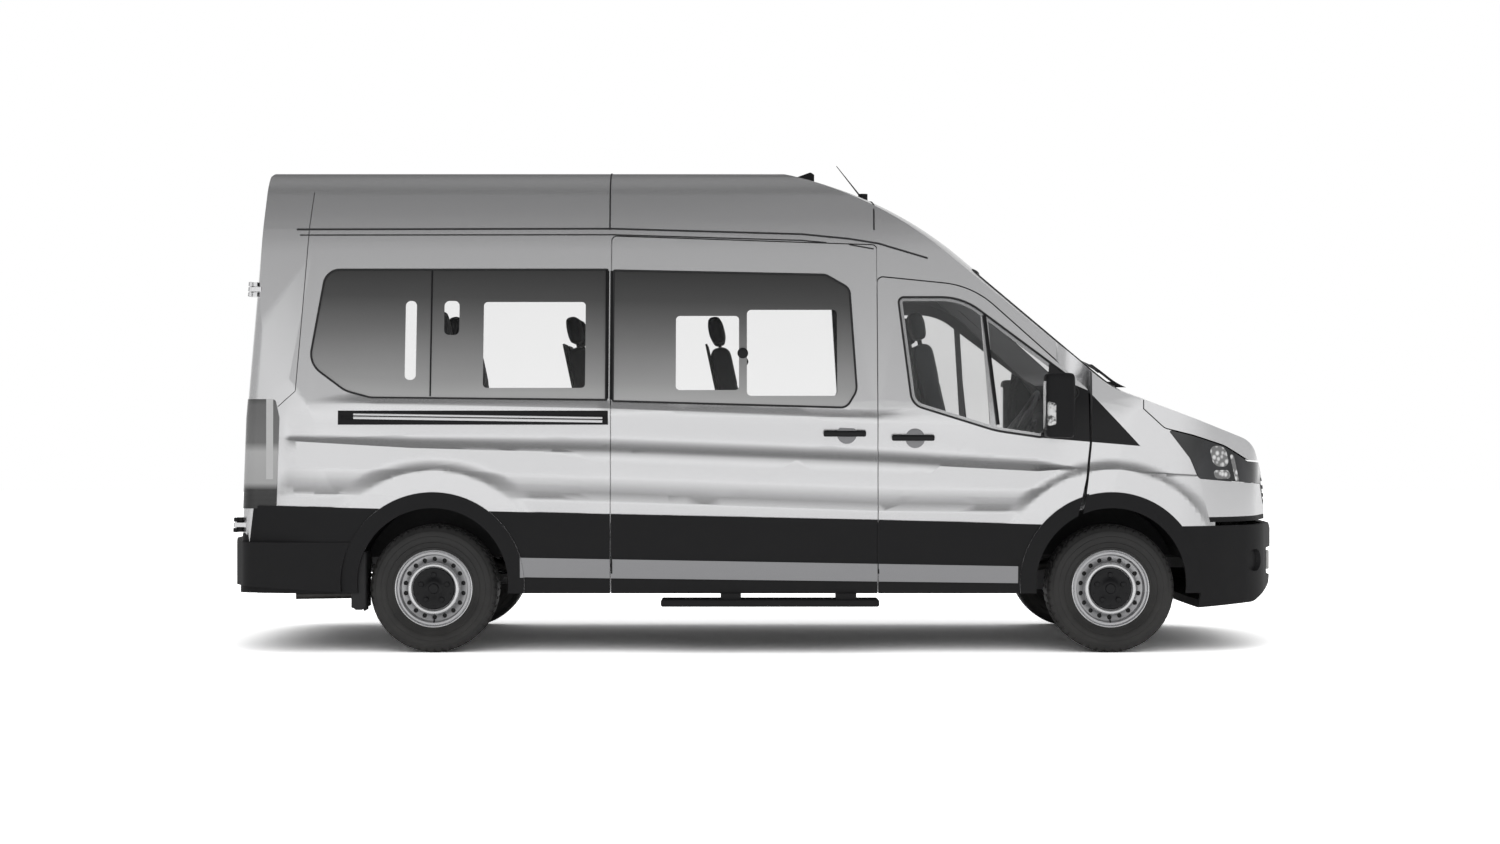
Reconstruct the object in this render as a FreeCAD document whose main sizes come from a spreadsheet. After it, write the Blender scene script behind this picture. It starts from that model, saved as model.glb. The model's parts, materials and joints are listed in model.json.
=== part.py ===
import FreeCAD, Part
import Sketcher
import math
import os
import re

# Minibus, millimetres. +X points to the front, +Y to the left, +Z up.
# The origin is on the ground, under the middle of the whole vehicle.

V = FreeCAD.Vector
DOC = FreeCAD.newDocument("minibus")

# ------------------------------------------------------------------ sizes
# columns: name, value, meaning
SIZES = (
    ("front_axle", 1967.5, "front axle ahead of the origin"),
    ("wheelbase", 3750, "front axle to rear axle"),
    ("half_track", 868, "middle plane to the middle of a tyre"),
    ("tyre_radius", 354, "tyre on the ground"),
    ("tyre_width", 235, "tyre across"),
    ("rim_radius", 216, "rim flange"),
    ("seat_radius", 200, "bead seat of the rim"),
    ("disc_holes", 18, "oval holes round a wheel disc"),
    ("hole_circle", 162, "circle of those holes"),
    ("hub_bore", 32, "bore of the wheel hub"),
    ("pin_gap", 0.3, "running clearance on pins and stubs"),
    ("seat_gap", 0.3, "clearance of a piece on its seat"),
    ("rear_face", -2885, "rear face of the body at the sill"),
    ("nose_face", 2970, "nose of the body at the sill"),
    ("body_half", 1012, "half width at the cladding"),
    ("belt_half", 1000, "half width at the belt line"),
    ("belt_height", 1330, "belt line"),
    ("gutter_half", 868, "half width at the roof gutter"),
    ("gutter_height", 2330, "where the side folds to the roof"),
    ("edge_half", 800, "half width of the roof edge"),
    ("edge_height", 2672, "roof edge"),
    ("roof_height", 2725, "middle of the roof"),
    ("sill_height", 330, "lower edge of the body"),
    ("edge_round", 170, "radius of the roof edges"),
    ("wall", 100, "side walls with their trim"),
    ("roof_wall", 45, "roof with its lining"),
    ("frame_depth", 130, "door pillars across"),
    ("panel", 30, "single outer panels with their frames"),
    ("door_depth", 80, "doors, skin to lining"),
    ("frame_top", 50, "door frame beside the window"),
    ("rear_door_depth", 70, "rear doors, skin to lining"),
    ("glass", 6, "glass thickness"),
    ("door_gap", 7, "gap round the doors"),
    ("shut_gap", 6, "gap round the bonnet and fixed door"),
    ("door_lap", 35, "door edge over its frame"),
    ("pillar", 680, "rear edge of the front doors"),
    ("hinge_x", 1765, "front door hinge axis"),
    ("hinge_half", 975, "front door hinge axis from the middle"),
    ("nose_round", 92, "door edge about its hinge axis at the belt"),
    ("hinge_socket", 20, "room about the front door hinge lugs"),
    ("hinge_pin", 8, "radius of the door hinge pins"),
    ("rear_hinge_half", 905, "rear door hinge axis from the middle"),
    ("rear_door_half", 872, "outer edge of the rear doors"),
    ("rear_door_low", 640, "lower edge of the rear doors"),
    ("rear_door_top", 2500, "upper edge of the rear doors"),
    ("rear_hinge_lean", 3.6, "lean of the rear hinge axis, degrees"),
    ("slide_rear", -798, "rear edge of the sliding door"),
    ("slide_front", 674, "front edge of the sliding door"),
    ("seam_rear", -2463, "seam of the rear corner panels"),
    ("arch_height", 385, "middle of the wheel arches"),
    ("arch_inner", 417, "opening of the arch trims"),
    ("arch_outer", 505, "outside of the arch trims"),
    ("liner_radius", 426, "inside of the wheel liners"),
    ("trim", 14, "cladding over the skin"),
    ("floor_top", 680, "floor"),
    ("floor_depth", 40, "floor thickness"),
    ("rail_half", 430, "chassis rails from the middle"),
    ("rail_width", 70, "chassis rail across"),
    ("rail_low", 500, "underside of the chassis rails"),
    ("rail_rear", -2740, "rear end of the chassis rails"),
    ("rail_front", 2780, "front end of the chassis rails"),
    ("tow_bolt", 6.5, "radius of the tow bar's bolt holes in the rails"),
    ("tow_spread", 80, "tow bar bolt holes apart along the rail"),
    ("tow_rise", 60, "tow bar bolt holes apart in height"),
    ("king_half", 780, "steering axis from the middle"),
    ("ball_rise", 130, "ball joints above and below the hub"),
    ("axle_tube", 45, "radius of the rear axle tube"),
    ("bonnet_rear", 2150, "rear edge of the bonnet"),
    ("cowl_gap", 20, "cowl to the bonnet"),
    ("bonnet_hinge_x", 2160, "bonnet hinge axis"),
    ("bonnet_hinge_z", 1430, "bonnet hinge axis"),
    ("bonnet_hinge_half", 250, "bonnet hinges from the middle"),
    ("wheel_ring", 200, "steering wheel radius"),
    ("driver_side", 430, "driver's seat from the middle"),
    ("mirror_half", 1237, "outer face of the mirrors"),
    ("step_height", 310, "top of the side step"),
    ("bumper_rear", -2990.5, "rearmost point"),
    ("bumper_front", 2990.5, "foremost point"),
)

SHEET = DOC.addObject("Spreadsheet::Sheet", "Dims")
for line, (name, value, meaning) in enumerate(SIZES, start=1):
    SHEET.set("A%d" % line, name)
    SHEET.set("B%d" % line, str(value))
    SHEET.set("C%d" % line, meaning)
    SHEET.setAlias("B%d" % line, name)
DOC.recompute()


class Sizes:
    """Reads the driving dimensions back from the sheet."""
    def __getattr__(self, name):
        return float(SHEET.get(name))


D = Sizes()
ALIAS = re.compile(r"\b(%s)\b" % "|".join(name for name, _, _ in SIZES))
REAR_AXLE = D.front_axle - D.wheelbase
AXLES = (("front", D.front_axle), ("rear", REAR_AXLE))
SIDES = (("left", 1), ("right", -1))
FAR = 4000.0

NODES = {}


# ---------------------------------------------------------- small helpers
def bound(text):
    """Text of an expression with every size name tied to the sheet."""
    return ALIAS.sub(r"Dims.\1", str(text))


def block(name, x, y, z):
    """Part::Box between two expressions on each axis."""
    item = DOC.addObject("Part::Box", name)
    for size, axis, (low, high) in (("Length", "x", x), ("Width", "y", y), ("Height", "z", z)):
        item.setExpression(size, bound("(%s) - (%s)" % (high, low)))
        item.setExpression("Placement.Base." + axis, bound(low))
    return item


TURNS = {
    "x": FreeCAD.Rotation(V(0, 1, 0), 90),
    "y": FreeCAD.Rotation(V(1, 0, 0), -90),
    "z": FreeCAD.Rotation(),
}


def rod(name, along, radius, at, length):
    """Part::Cylinder along an axis, from the point at over the length."""
    item = DOC.addObject("Part::Cylinder", name)
    item.Placement = FreeCAD.Placement(V(), TURNS[along])
    item.setExpression("Radius", bound(radius))
    item.setExpression("Height", bound(length))
    for axis, text in zip("xyz", at):
        item.setExpression("Placement.Base." + axis, bound(text))
    return item


def joined(name, items):
    item = DOC.addObject("Part::MultiFuse", name)
    item.Shapes = items
    return item


def less(name, base, tool):
    item = DOC.addObject("Part::Cut", name)
    item.Base = base
    item.Tool = tool
    return item


def held(name, shape):
    item = DOC.addObject("Part::Feature", name)
    item.Shape = shape
    return item


def node(name, item):
    """Hand in a document object, or a shape, as the sub-part of that name."""
    if isinstance(item, Part.Shape):
        item = held(name, item)
    item.Label = name
    NODES[name] = item
    return item


# -------------------------------------------------- outlines of lines and arcs
def inset(rows, depth):
    """The same outline moved in by depth; rows are (a, b, corner radius)."""
    if not depth:
        return list(rows)
    count = len(rows)
    area = sum(rows[i - 1][0] * rows[i][1] - rows[i][0] * rows[i - 1][1] for i in range(count))
    turn = 1 if area > 0 else -1
    lines = []
    for i in range(count):
        a, b = V(*rows[i][:2], 0), V(*rows[(i + 1) % count][:2], 0)
        along = (b - a).normalize()
        inward = V(-along.y, along.x, 0) * turn
        lines.append((a + inward * depth, along))
    moved = []
    for i in range(count):
        (p, u), (q, w) = lines[i - 1], lines[i]
        cross = u.x * w.y - u.y * w.x
        if abs(cross) < 1e-9:
            point = q
        else:
            reach = ((q - p).x * w.y - (q - p).y * w.x) / cross
            point = p + u * reach
        radius = rows[i][2]
        if radius:
            radius = max(radius - depth if cross * turn > 0 else radius + depth, 2.0)
        moved.append((point.x, point.y, radius))
    return moved


def outline(rows, to_space):
    """Closed wire through rounded corners."""
    count = len(rows)
    arcs = []
    for i in range(count):
        corner = V(*rows[i][:2], 0)
        back = (V(*rows[i - 1][:2], 0) - corner).normalize()
        ahead = (V(*rows[(i + 1) % count][:2], 0) - corner).normalize()
        radius = rows[i][2]
        if not radius:
            arcs.append((corner, None, corner))
            continue
        half = back.getAngle(ahead) / 2
        reach = radius / math.tan(half)
        centre = corner + (back + ahead).normalize() * (radius / math.sin(half))
        middle = centre + (corner - centre).normalize() * radius
        arcs.append((corner + back * reach, middle, corner + ahead * reach))
    edges = []
    for i, (start, middle, end) in enumerate(arcs):
        if middle:
            edges.append(Part.Arc(to_space(start), to_space(middle), to_space(end)).toShape())
        following = arcs[(i + 1) % count][0]
        if (following - end).Length > 1e-6:
            edges.append(Part.LineSegment(to_space(end), to_space(following)).toShape())
    return Part.Wire(edges)


def side_prism(rows, low=-FAR, high=FAR):
    """Prism across the vehicle on an (x, z, radius) outline."""
    face = Part.Face(outline(rows, lambda p: V(p.x, low, p.y)))
    return face.extrude(V(0, high - low, 0))


def end_prism(rows, low=-FAR, high=FAR):
    """Prism along the vehicle on a (y, z, radius) outline."""
    face = Part.Face(outline(rows, lambda p: V(low, p.x, p.y)))
    return face.extrude(V(high - low, 0, 0))


def plan_prism(rows, low=-FAR, high=FAR):
    """Upright prism on an (x, y, radius) outline."""
    face = Part.Face(outline(rows, lambda p: V(p.x, p.y, low)))
    return face.extrude(V(0, 0, high - low))


def slab(x=(-FAR, FAR), y=(-FAR, FAR), z=(-FAR, FAR)):
    return Part.makeBox(x[1] - x[0], y[1] - y[0], z[1] - z[0], V(x[0], y[0], z[0]))


def disc(x, z, radius, low, high):
    """Cylinder across the vehicle between two y values."""
    return Part.makeCylinder(radius, high - low, V(x, low, z), V(0, 1, 0))


def side_span(sign, near=0.0, far=FAR):
    """y range of one side, from near to far out from the middle."""
    return (near, far) if sign > 0 else (-far, -near)


# ------------------------------------------------------------- body surface
PIVOT = -1500.0         # centre of the bowed windscreen and nose, as seen from above
MEET = -400.0           # where the bowed front takes over from the straight rear


def side_rows(front):
    """Centre line of the body, columns x, z, corner radius."""
    low = D.sill_height
    top = D.roof_height
    tail = [
        (D.rear_face, low, 0),
        (D.rear_face + 35, belt_z(), 3000),
        (D.rear_face + 158, top - 2, 120),
    ]
    nose = [
        (622, top + 2.5, 2100),
        (2095, 1471, 400),
        (2560, 1292, 1500),
        (D.nose_face - 105, 1165, 150),
        (D.nose_face - 20, 900, 400),
        (D.nose_face, low, 0),
    ]
    if front:
        return [(MEET - 200, low, 0), (MEET - 200, top + 2, 0)] + nose
    return tail + [(MEET + 300, top + 2, 0), (MEET + 300, low, 0)]


def belt_z():
    return D.belt_height - 30


def section_rows():
    """Body across, columns y, z, corner radius."""
    half = [
        (D.body_half - 27, D.sill_height, 0),
        (D.body_half, 700, 1500),
        (D.belt_half, D.belt_height, 1200),
        (D.gutter_half, D.gutter_height, 3000),
        (D.edge_half, D.edge_height, D.edge_round),
    ]
    return half + [(0, D.roof_height, 4000)] + [(-a, b, r) for a, b, r in reversed(half)]


def plan_rear_rows():
    """Rear half of the body from above at the belt, columns x, y, corner radius."""
    half = [
        (D.rear_face + 20, 0, 0),
        (D.rear_face + 48, D.body_half - 87, 90),
        (-2450, D.body_half - 4, 1500),
        (MEET + 300, D.body_half, 0),
    ]
    return half + [(a, -b, r) for a, b, r in reversed(half[1:])]


def plan_rear(depth):
    """Rear outline carried down and up along the leaning rear face."""
    belt = belt_z()
    rows = inset(plan_rear_rows(), depth)
    rows = [(MEET + 300 if a > MEET else a, b, r) for a, b, r in rows]
    face = Part.Face(outline(rows, lambda p: V(p.x, p.y, belt)))
    down = belt + 200
    below = face.extrude(V(-35 / (belt - D.sill_height) * down, 0, -down))
    up = D.roof_height + 200 - belt
    above = face.extrude(V(123 / (D.roof_height - 2 - belt) * up, 0, up))
    return below.fuse(above).common(slab(x=(-FAR, MEET)))


def plan_front_rows():
    """Front half of the body from above, columns x, y, corner radius."""
    half = [
        (MEET, 0, 0),
        (MEET, D.body_half, 0),
        (1950, D.body_half + 1, 1500),
        (2500, D.body_half - 67, 700),
        (D.nose_face - 170, 740, 500),
        (D.nose_face - 10, 330, 700),
        (D.nose_face + 20, 0, 0),
    ]
    return half + [(a, -b, r) for a, b, r in reversed(half[1:-1])]


def body(depth):
    """Solid inside the body surface moved in by depth."""
    drop = 3 * max(depth, 0)
    low = D.sill_height

    def deeper(rows):
        return [(a, b - drop if b == low else b, r) for a, b, r in rows]

    half = math.sqrt(0.5)
    rear = Part.Face(outline(inset_open(deeper(side_rows(False)), depth), lambda p: V(p.x, -1200, p.y)))
    rear = rear.extrude(V(0, 2400, 0)).common(slab(x=(-FAR, MEET)))
    wire = outline(inset_open(deeper(side_rows(True)), depth),
                   lambda p: V(PIVOT + (p.x - PIVOT) * half, -(p.x - PIVOT) * half, p.y))
    front = Part.Face(wire).revolve(V(PIVOT, 0, 0), V(0, 0, 1), 90)
    front = front.common(slab(x=(MEET, FAR), y=(-1200, 1200)))
    across = end_prism(inset(deeper(section_rows()), depth))
    rows = [(MEET if a < MEET + depth + 1 else a, b, r) for a, b, r in inset(plan_front_rows(), depth)]
    rear = rear.common(across).common(plan_rear(depth))
    front = front.common(across).common(plan_prism(rows))
    return rear.fuse(front)


def inset_open(rows, depth):
    """Inset that keeps the cut ends of a half outline in place."""
    moved = inset(rows, depth)
    ends = (MEET - 200, MEET + 300)
    kept = []
    for (a, b, r), (old, _, _) in zip(moved, rows):
        kept.append((old if old in ends else a, b, r))
    return kept


BODIES = {}


def inside(depth):
    if depth not in BODIES:
        BODIES[depth] = body(depth)
    return BODIES[depth]


def shell(outer, inner):
    return inside(outer).cut(inside(inner))


# ------------------------------------------------------------ side outlines
def front_door_rows():
    """Front door, columns x, z, radius; the wheel arch cuts its lower corner."""
    low = D.sill_height
    return [
        (D.pillar, low, 0),
        (D.pillar, 2085, 30),
        (1205, 2032, 480),
        (1842, 1455, 40),
        (D.hinge_x + 82, 1161, 120),
        (D.hinge_x + 60, 963, 0),
        (D.hinge_x + 31, 828, 0),
        (D.hinge_x + 15, 760, 0),
        (D.hinge_x + 15, low, 0),
    ]


def slide_rows():
    """Sliding door, columns x, z, radius."""
    low = D.sill_height
    return [
        (D.slide_rear, low, 0),
        (D.slide_rear, 2312, 25),
        (D.slide_front, 2262, 25),
        (D.slide_front, low, 0),
    ]


FRONT_WINDOW = [          # x, z, radius
    (792, 1972, 30),
    (1150, 1972, 350),
    (1712, 1548, 0),
    (1795, 1440, 30),
    (1590, 1190, 40),
    (1330, 1228, 600),
    (866, 1372, 90),
]
SLIDE_WINDOW = [
    (D.slide_rear + 8, 2122, 10),
    (391, 2098, 60),
    (524, 2022, 60),
    (562, 1450, 90),
    (505, 1356, 60),
    (D.slide_rear + 8, 1392, 10),
]
REAR_WINDOW = [
    (D.slide_rear - 25, 2126, 5),
    (-2390, 2126, 90),
    (-2474, 1600, 130),
    (-2270, 1450, 160),
    (-2130, 1412, 100),
    (D.slide_rear - 25, 1399, 5),
]
LAMP = [
    (2283, 1236, 8),
    (2430, 1201, 100),
    (2620, 1142, 200),
    (2775, 1056, 60),
    (3100, 1030, 0),
    (3100, 905, 0),
    (2461, 962, 30),
    (2411, 1074, 80),
]
TAIL_LAMP = [
    (-3100, 790, 0),
    (-2655, 800, 25),
    (-2638, 1300, 60),
    (-2662, 1404, 25),
    (-3100, 1404, 0),
]


def bonnet_rows():
    return [
        (D.bonnet_rear, 1600, 0),
        (D.bonnet_rear, 1352, 0),
        (2268, 1246, 60),
        (2430, 1207, 100),
        (2620, 1148, 200),
        (2780, 1062, 60),
        (3100, 1045, 0),
        (3100, 1600, 0),
    ]


def roof_line():
    """Lower edge of the roof panel, columns x, z, radius."""
    return [(-3200, 2354, 0), (-800, 2354, 400), (689, 2270, 400), (940, 2195, 300), (1700, 2195, 0)]


WINDSCREEN = [            # y, z, radius, from the front
    (900, 1478, 90),
    (748, 2138, 90),
    (-748, 2138, 90),
    (-900, 1478, 90),
]
REAR_GLASS = [            # y, z, radius
    (70, 1400, 60),
    (800, 1400, 60),
    (765, 2130, 60),
    (70, 2130, 60),
]


def rear_door_outline(near):
    return [
        (near, D.rear_door_low, 0),
        (D.rear_door_half, D.rear_door_low, 60),
        (D.rear_door_half - 6, 1980, 900),
        (D.rear_door_half - 52, 2330, 600),
        (D.rear_door_half - 102, D.rear_door_top, 70),
        (near, D.rear_door_top, 0),
    ]


def flipped(rows, sign):
    """Outline of a left piece as the one of the given side, seen along x."""
    return [(a * sign, b, r) for a, b, r in rows]


def arch(radius, x, low=-FAR, high=FAR):
    return disc(x, D.arch_height, radius, low, high)


NOSE = (                  # height, radius of the door's front edge about its hinge axis
    (300, 52),
    (760, 52),
    (963, 74),
    (1161, None),
    (1900, None),
)


def hinge_nose(gap, sign):
    """Space that the front edge of a door sweeps about its hinge axis, grown by gap."""
    cones = []
    for (low, near), (high, far) in zip(NOSE, NOSE[1:]):
        near, far = (gap + (radius or D.nose_round) for radius in (near, far))
        at = V(D.hinge_x, sign * D.hinge_half, low)
        if near == far:
            cones.append(Part.makeCylinder(near, high - low, at))
        else:
            cones.append(Part.makeCone(near, far, high - low, at))
    return cones[0].fuse(cones[1:])


def lip_sweep(sign):
    """Room for the black lip on the front edge of a door, below the painted fender."""
    return hinge_nose(20, sign).common(slab(z=(0, D.arch_height + D.arch_outer - 10)))


def front_door_zone(gap, sign):
    """Space of one front door, grown by gap; its front edge turns about the hinge axis."""
    zone = side_prism(inset(front_door_rows(), -gap), *side_span(sign))
    zone = zone.cut(arch(D.liner_radius + 2 * D.door_gap - gap, D.front_axle))
    ahead = zone.common(slab(x=(D.hinge_x, FAR))).common(hinge_nose(gap, sign))
    return zone.cut(slab(x=(D.hinge_x, FAR))).fuse(ahead)


# --------------------------------------------------------------- body shell
def cab_frame():
    """Windscreen frame, door pillars, scuttle and bulkhead."""
    skin = side_prism([
        (D.pillar - 3, 1385, 0),
        (1935, 1385, 0),
        (D.bonnet_rear - D.cowl_gap, 1345, 0),
        (D.bonnet_rear - D.cowl_gap, 1800, 0),
        (1700, 2300, 0),
        (D.pillar - 3, 2300, 0),
    ])
    skin = shell(0, D.frame_depth).common(skin).cut(roof_zone())
    inner = shell(D.door_depth + D.shut_gap, D.frame_depth)
    inner = inner.common(slab(x=(D.pillar - D.door_lap - 6, 1990), z=(D.sill_height, 2195)))
    inner = inner.common(inside(0))
    pillar = shell(D.panel, D.frame_depth)
    pillar = pillar.common(slab(x=(D.hinge_x + 60, 1990), z=(820, 1385)))
    shape = skin.fuse(inner).fuse(pillar)
    lower = front_door_zone(D.door_gap, 1).fuse(front_door_zone(D.door_gap, -1))
    lower = lower.cut(inside(D.door_depth + D.shut_gap))
    opening = side_prism(inset([
        (D.pillar, D.floor_top, 40), (D.pillar, 2085, 30), (1205, 2032, 480),
        (1842, 1455, 40), (D.hinge_x - 20, 1161, 400), (D.hinge_x - 70, 820, 80),
        (1430, D.floor_top, 60),
    ], D.door_lap))
    screen = end_prism(inset(WINDSCREEN, 25), 900, FAR)
    pocket = end_prism(WINDSCREEN, 900, FAR).cut(inside(D.glass + D.seat_gap))
    shape = shape.cut(lower).cut(opening).cut(screen).cut(pocket)
    for _, sign in SIDES:
        shape = shape.cut(hinge_nose(D.door_gap, sign)).cut(lip_sweep(sign))
    shape = shape.cut(arch(D.liner_radius + 6, D.front_axle))
    shape = shape.cut(slab(x=(D.bonnet_rear - D.cowl_gap, FAR)))
    bulkhead = inside(D.frame_depth - 20).common(slab(x=(1962, 1982), z=(D.floor_top, 1420)))
    for _, sign in SIDES:
        low, high = side_span(sign, liner_wall(D.front_axle))
        bulkhead = bulkhead.cut(arch(D.liner_radius + 6, D.front_axle, low, high))
    scuttle = inside(D.panel).common(slab(x=(1970, D.bonnet_rear - D.cowl_gap), z=(1300, 1330)))
    fixed = [bonnet_hinge_pins()] + [door_hinge_arms(sign) for _, sign in SIDES]
    return shape.fuse([bulkhead, scuttle] + fixed)


def door_hinge_arms(sign):
    """Fixed arms and pins of one front door's hinges."""
    solids = []
    for low in HINGE_LEVELS:
        y = sign * D.hinge_half
        pin = Part.makeCylinder(D.hinge_pin, HINGE_TALL + 2 * HINGE_BITE, V(D.hinge_x, y, low - HINGE_BITE))
        near, far = sorted((y, sign * (D.hinge_half - 105)))
        arm = Part.makeBox(20, far - near, 24, V(D.hinge_x - 10, near, low + HINGE_TALL / 2 - 12))
        lug = Part.makeCylinder(14, 24, V(D.hinge_x, y, low + HINGE_TALL / 2 - 12))
        near, far = sorted((sign * (D.hinge_half - 95), sign * (D.hinge_half - 125)))
        foot = Part.makeBox(150, far - near, 60, V(D.hinge_x - 10, near, low + HINGE_TALL / 2 - 30))
        near, far = sorted((sign * (D.hinge_half - 50), sign * (D.hinge_half - 125)))
        root = Part.makeBox(60, far - near, 60, V(D.hinge_x + 80, near, low + HINGE_TALL / 2 - 30))
        solids.append(pin.fuse([arm, lug, foot, root.cut(hinge_nose(D.door_gap, sign))]))
    return solids[0].fuse(solids[1:])


HINGE_LEVELS = (860.0, 1230.0)
HINGE_TALL = 70.0
HINGE_BITE = 18.0


def front_door(sign):
    """Front door with its window opening and hinge sockets."""
    zone = front_door_zone(0, sign)
    low = zone.common(slab(z=(0, D.belt_height - 60)))
    high = zone.common(slab(z=(D.belt_height - 60, FAR)))
    shape = low.common(shell(0, D.door_depth)).fuse(high.common(shell(0, D.frame_top)))
    shape = shape.cut(slab(x=(D.hinge_x, FAR), y=side_span(sign, 0, D.hinge_half)))
    window = side_prism(inset(FRONT_WINDOW, 22))
    bar = side_prism([(1238, 2100, 0), (1274, 2100, 0), (1346, 1100, 0), (1310, 1100, 0)])
    pocket = side_prism(FRONT_WINDOW).cut(inside(D.glass + D.seat_gap))
    bar = bar.common(shape).cut(inside(D.frame_top - 10)).cut(pocket)
    shape = shape.cut(window).cut(pocket).fuse(bar)
    for low_end in HINGE_LEVELS:
        at = V(D.hinge_x, sign * D.hinge_half, low_end)
        shape = shape.cut(Part.makeCylinder(D.hinge_socket, HINGE_TALL, at))
        near, far = sorted((sign * (D.hinge_half + 8), sign * (D.hinge_half - 120)))
        shape = shape.cut(Part.makeBox(68, far - near, HINGE_TALL, V(D.hinge_x - 34, near, low_end)))
        for start in (low_end - HINGE_BITE - 10, low_end + HINGE_TALL):
            boss = Part.makeCylinder(D.hinge_socket, HINGE_BITE + 10, V(D.hinge_x, sign * D.hinge_half, start))
            shape = shape.fuse(boss)
    bore = Part.makeCylinder(D.hinge_pin + D.pin_gap, 600, V(D.hinge_x, sign * D.hinge_half, 800))
    cuts = []
    for low_end in HINGE_LEVELS:
        span = slab(z=(low_end - HINGE_BITE - 1, low_end + HINGE_TALL + HINGE_BITE + 1))
        cuts.append(bore.common(span))
    return shape.cut(cuts[0]).cut(cuts[1]).removeSplitter()


def side_wall(sign):
    """Side wall behind the front door."""
    region = slab(x=(D.seam_rear, D.pillar - 3), y=side_span(sign), z=(D.sill_height, 2400))
    shape = shell(0, D.wall).common(region).cut(roof_zone())
    shape = shape.cut(side_prism(inset(REAR_WINDOW, 45)).cut(side_prism([
        (-1815, 2300, 0), (-1783, 2300, 0), (-1783, 1300, 0), (-1815, 1300, 0)])))
    shape = shape.cut(side_prism(REAR_WINDOW).cut(inside(D.glass + D.seat_gap)))
    if sign < 0:
        zone = side_prism(inset(slide_rows(), -D.shut_gap))
        shape = shape.cut(zone.cut(inside(D.door_depth + D.seat_gap)))
        opening = [(x, D.floor_top - 250 + D.door_lap if z == D.sill_height else z, 30 if r == 0 else r)
                   for x, z, r in slide_rows()]
        shape = shape.cut(side_prism(inset(opening, D.door_lap)))
    else:
        shape = shape.cut(side_prism(inset(SLIDE_WINDOW, 45)).cut(side_prism([
            (-90, 2300, 0), (-58, 2300, 0), (-58, 1300, 0), (-90, 1300, 0)])))
        shape = shape.cut(side_prism(SLIDE_WINDOW).cut(inside(D.glass + D.seat_gap)))
    shape = shape.cut(arch(D.liner_radius, REAR_AXLE))
    return shape


def sliding_door():
    shape = shell(0, D.door_depth).common(side_prism(slide_rows())).common(slab(y=side_span(-1)))
    shape = shape.cut(side_prism(inset(SLIDE_WINDOW, 45)).cut(side_prism([
        (-90, 2300, 0), (-58, 2300, 0), (-58, 1300, 0), (-90, 1300, 0)])))
    return shape.cut(side_prism(SLIDE_WINDOW).cut(inside(D.glass + D.seat_gap)))


def pane(rows, sign):
    """Flush glass on a side outline, set in by the seat clearance."""
    face = side_prism(inset(rows, D.seat_gap))
    return shell(0, D.glass).common(face).common(slab(y=side_span(sign)))


def roof_zone():
    return side_prism(roof_line() + [(1700, 3200, 0), (-3200, 3200, 0)])


def roof():
    shape = shell(0, D.roof_wall).common(roof_zone())
    zone = end_prism(inset([(-D.rear_door_half, 600, 0)] + rear_top_rows() +
                           [(D.rear_door_half, 600, 0)], -D.door_gap), -FAR, D.rear_face + 400)
    return shape.cut(zone.common(rear_layer(D.rear_door_depth + 20)))


def rear_top_rows():
    top = [(a, b, r) for a, b, r in rear_door_outline(0)[2:5]]
    return [(-a, b, r) for a, b, r in top] + [(a, b, r) for a, b, r in reversed(top)]


def rear_frame():
    """Rear corner pillars and the frame of the rear doors."""
    region = slab(x=(-FAR, D.seam_rear), z=(D.sill_height, 2354))
    shape = shell(0, D.wall).common(region)
    header = shell(D.roof_wall, D.wall).common(slab(x=(-FAR, D.rear_face + 330), z=(2354, FAR)))
    shape = shape.fuse(header)
    zone = [(-D.rear_door_half, D.rear_door_low, 60)] + rear_top_rows() + [(D.rear_door_half, D.rear_door_low, 60)]
    outer = end_prism(inset(zone, -D.door_gap), -FAR, -2400).cut(inside(D.rear_door_depth + D.shut_gap))
    outer = outer.common(rear_layer(D.rear_door_depth + 20))
    through = end_prism(inset(zone, D.door_lap), -FAR, -2600)
    shape = shape.cut(outer).cut(through)
    for _, sign in SIDES:
        shape = shape.cut(tail_lamp(sign, 0)).fuse(rear_hinge_parts(sign, True))
    return shape.cut(arch(D.liner_radius, REAR_AXLE))


def tail_lamp(sign, proud):
    block_ = side_prism(TAIL_LAMP, *side_span(sign, D.rear_door_half + D.door_gap + 4))
    return shell(-proud, 45).common(block_)


def rear_layer(depth):
    """Space behind a face that follows the leaning rear of the body at that depth."""
    rows = [(x + depth, z, 0) for x, z, _ in side_rows(False)[:3]]
    return side_prism([(-FAR, 0, 0), (rows[0][0], 0, 0)] + rows + [(rows[2][0], FAR, 0), (-FAR, FAR, 0)])


def rear_door(sign):
    outline_ = flipped(rear_door_outline(3.5), sign)
    shape = shell(0, D.rear_door_depth).common(end_prism(outline_, -FAR, -2550))
    shape = shape.common(rear_layer(D.rear_door_depth + 12))
    glass = flipped(REAR_GLASS, sign)
    shape = shape.cut(end_prism(inset(glass, 35), -FAR, -2500))
    pocket = end_prism(glass, -FAR, -2500).cut(inside(D.glass + D.seat_gap))
    return shape.cut(pocket)


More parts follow.
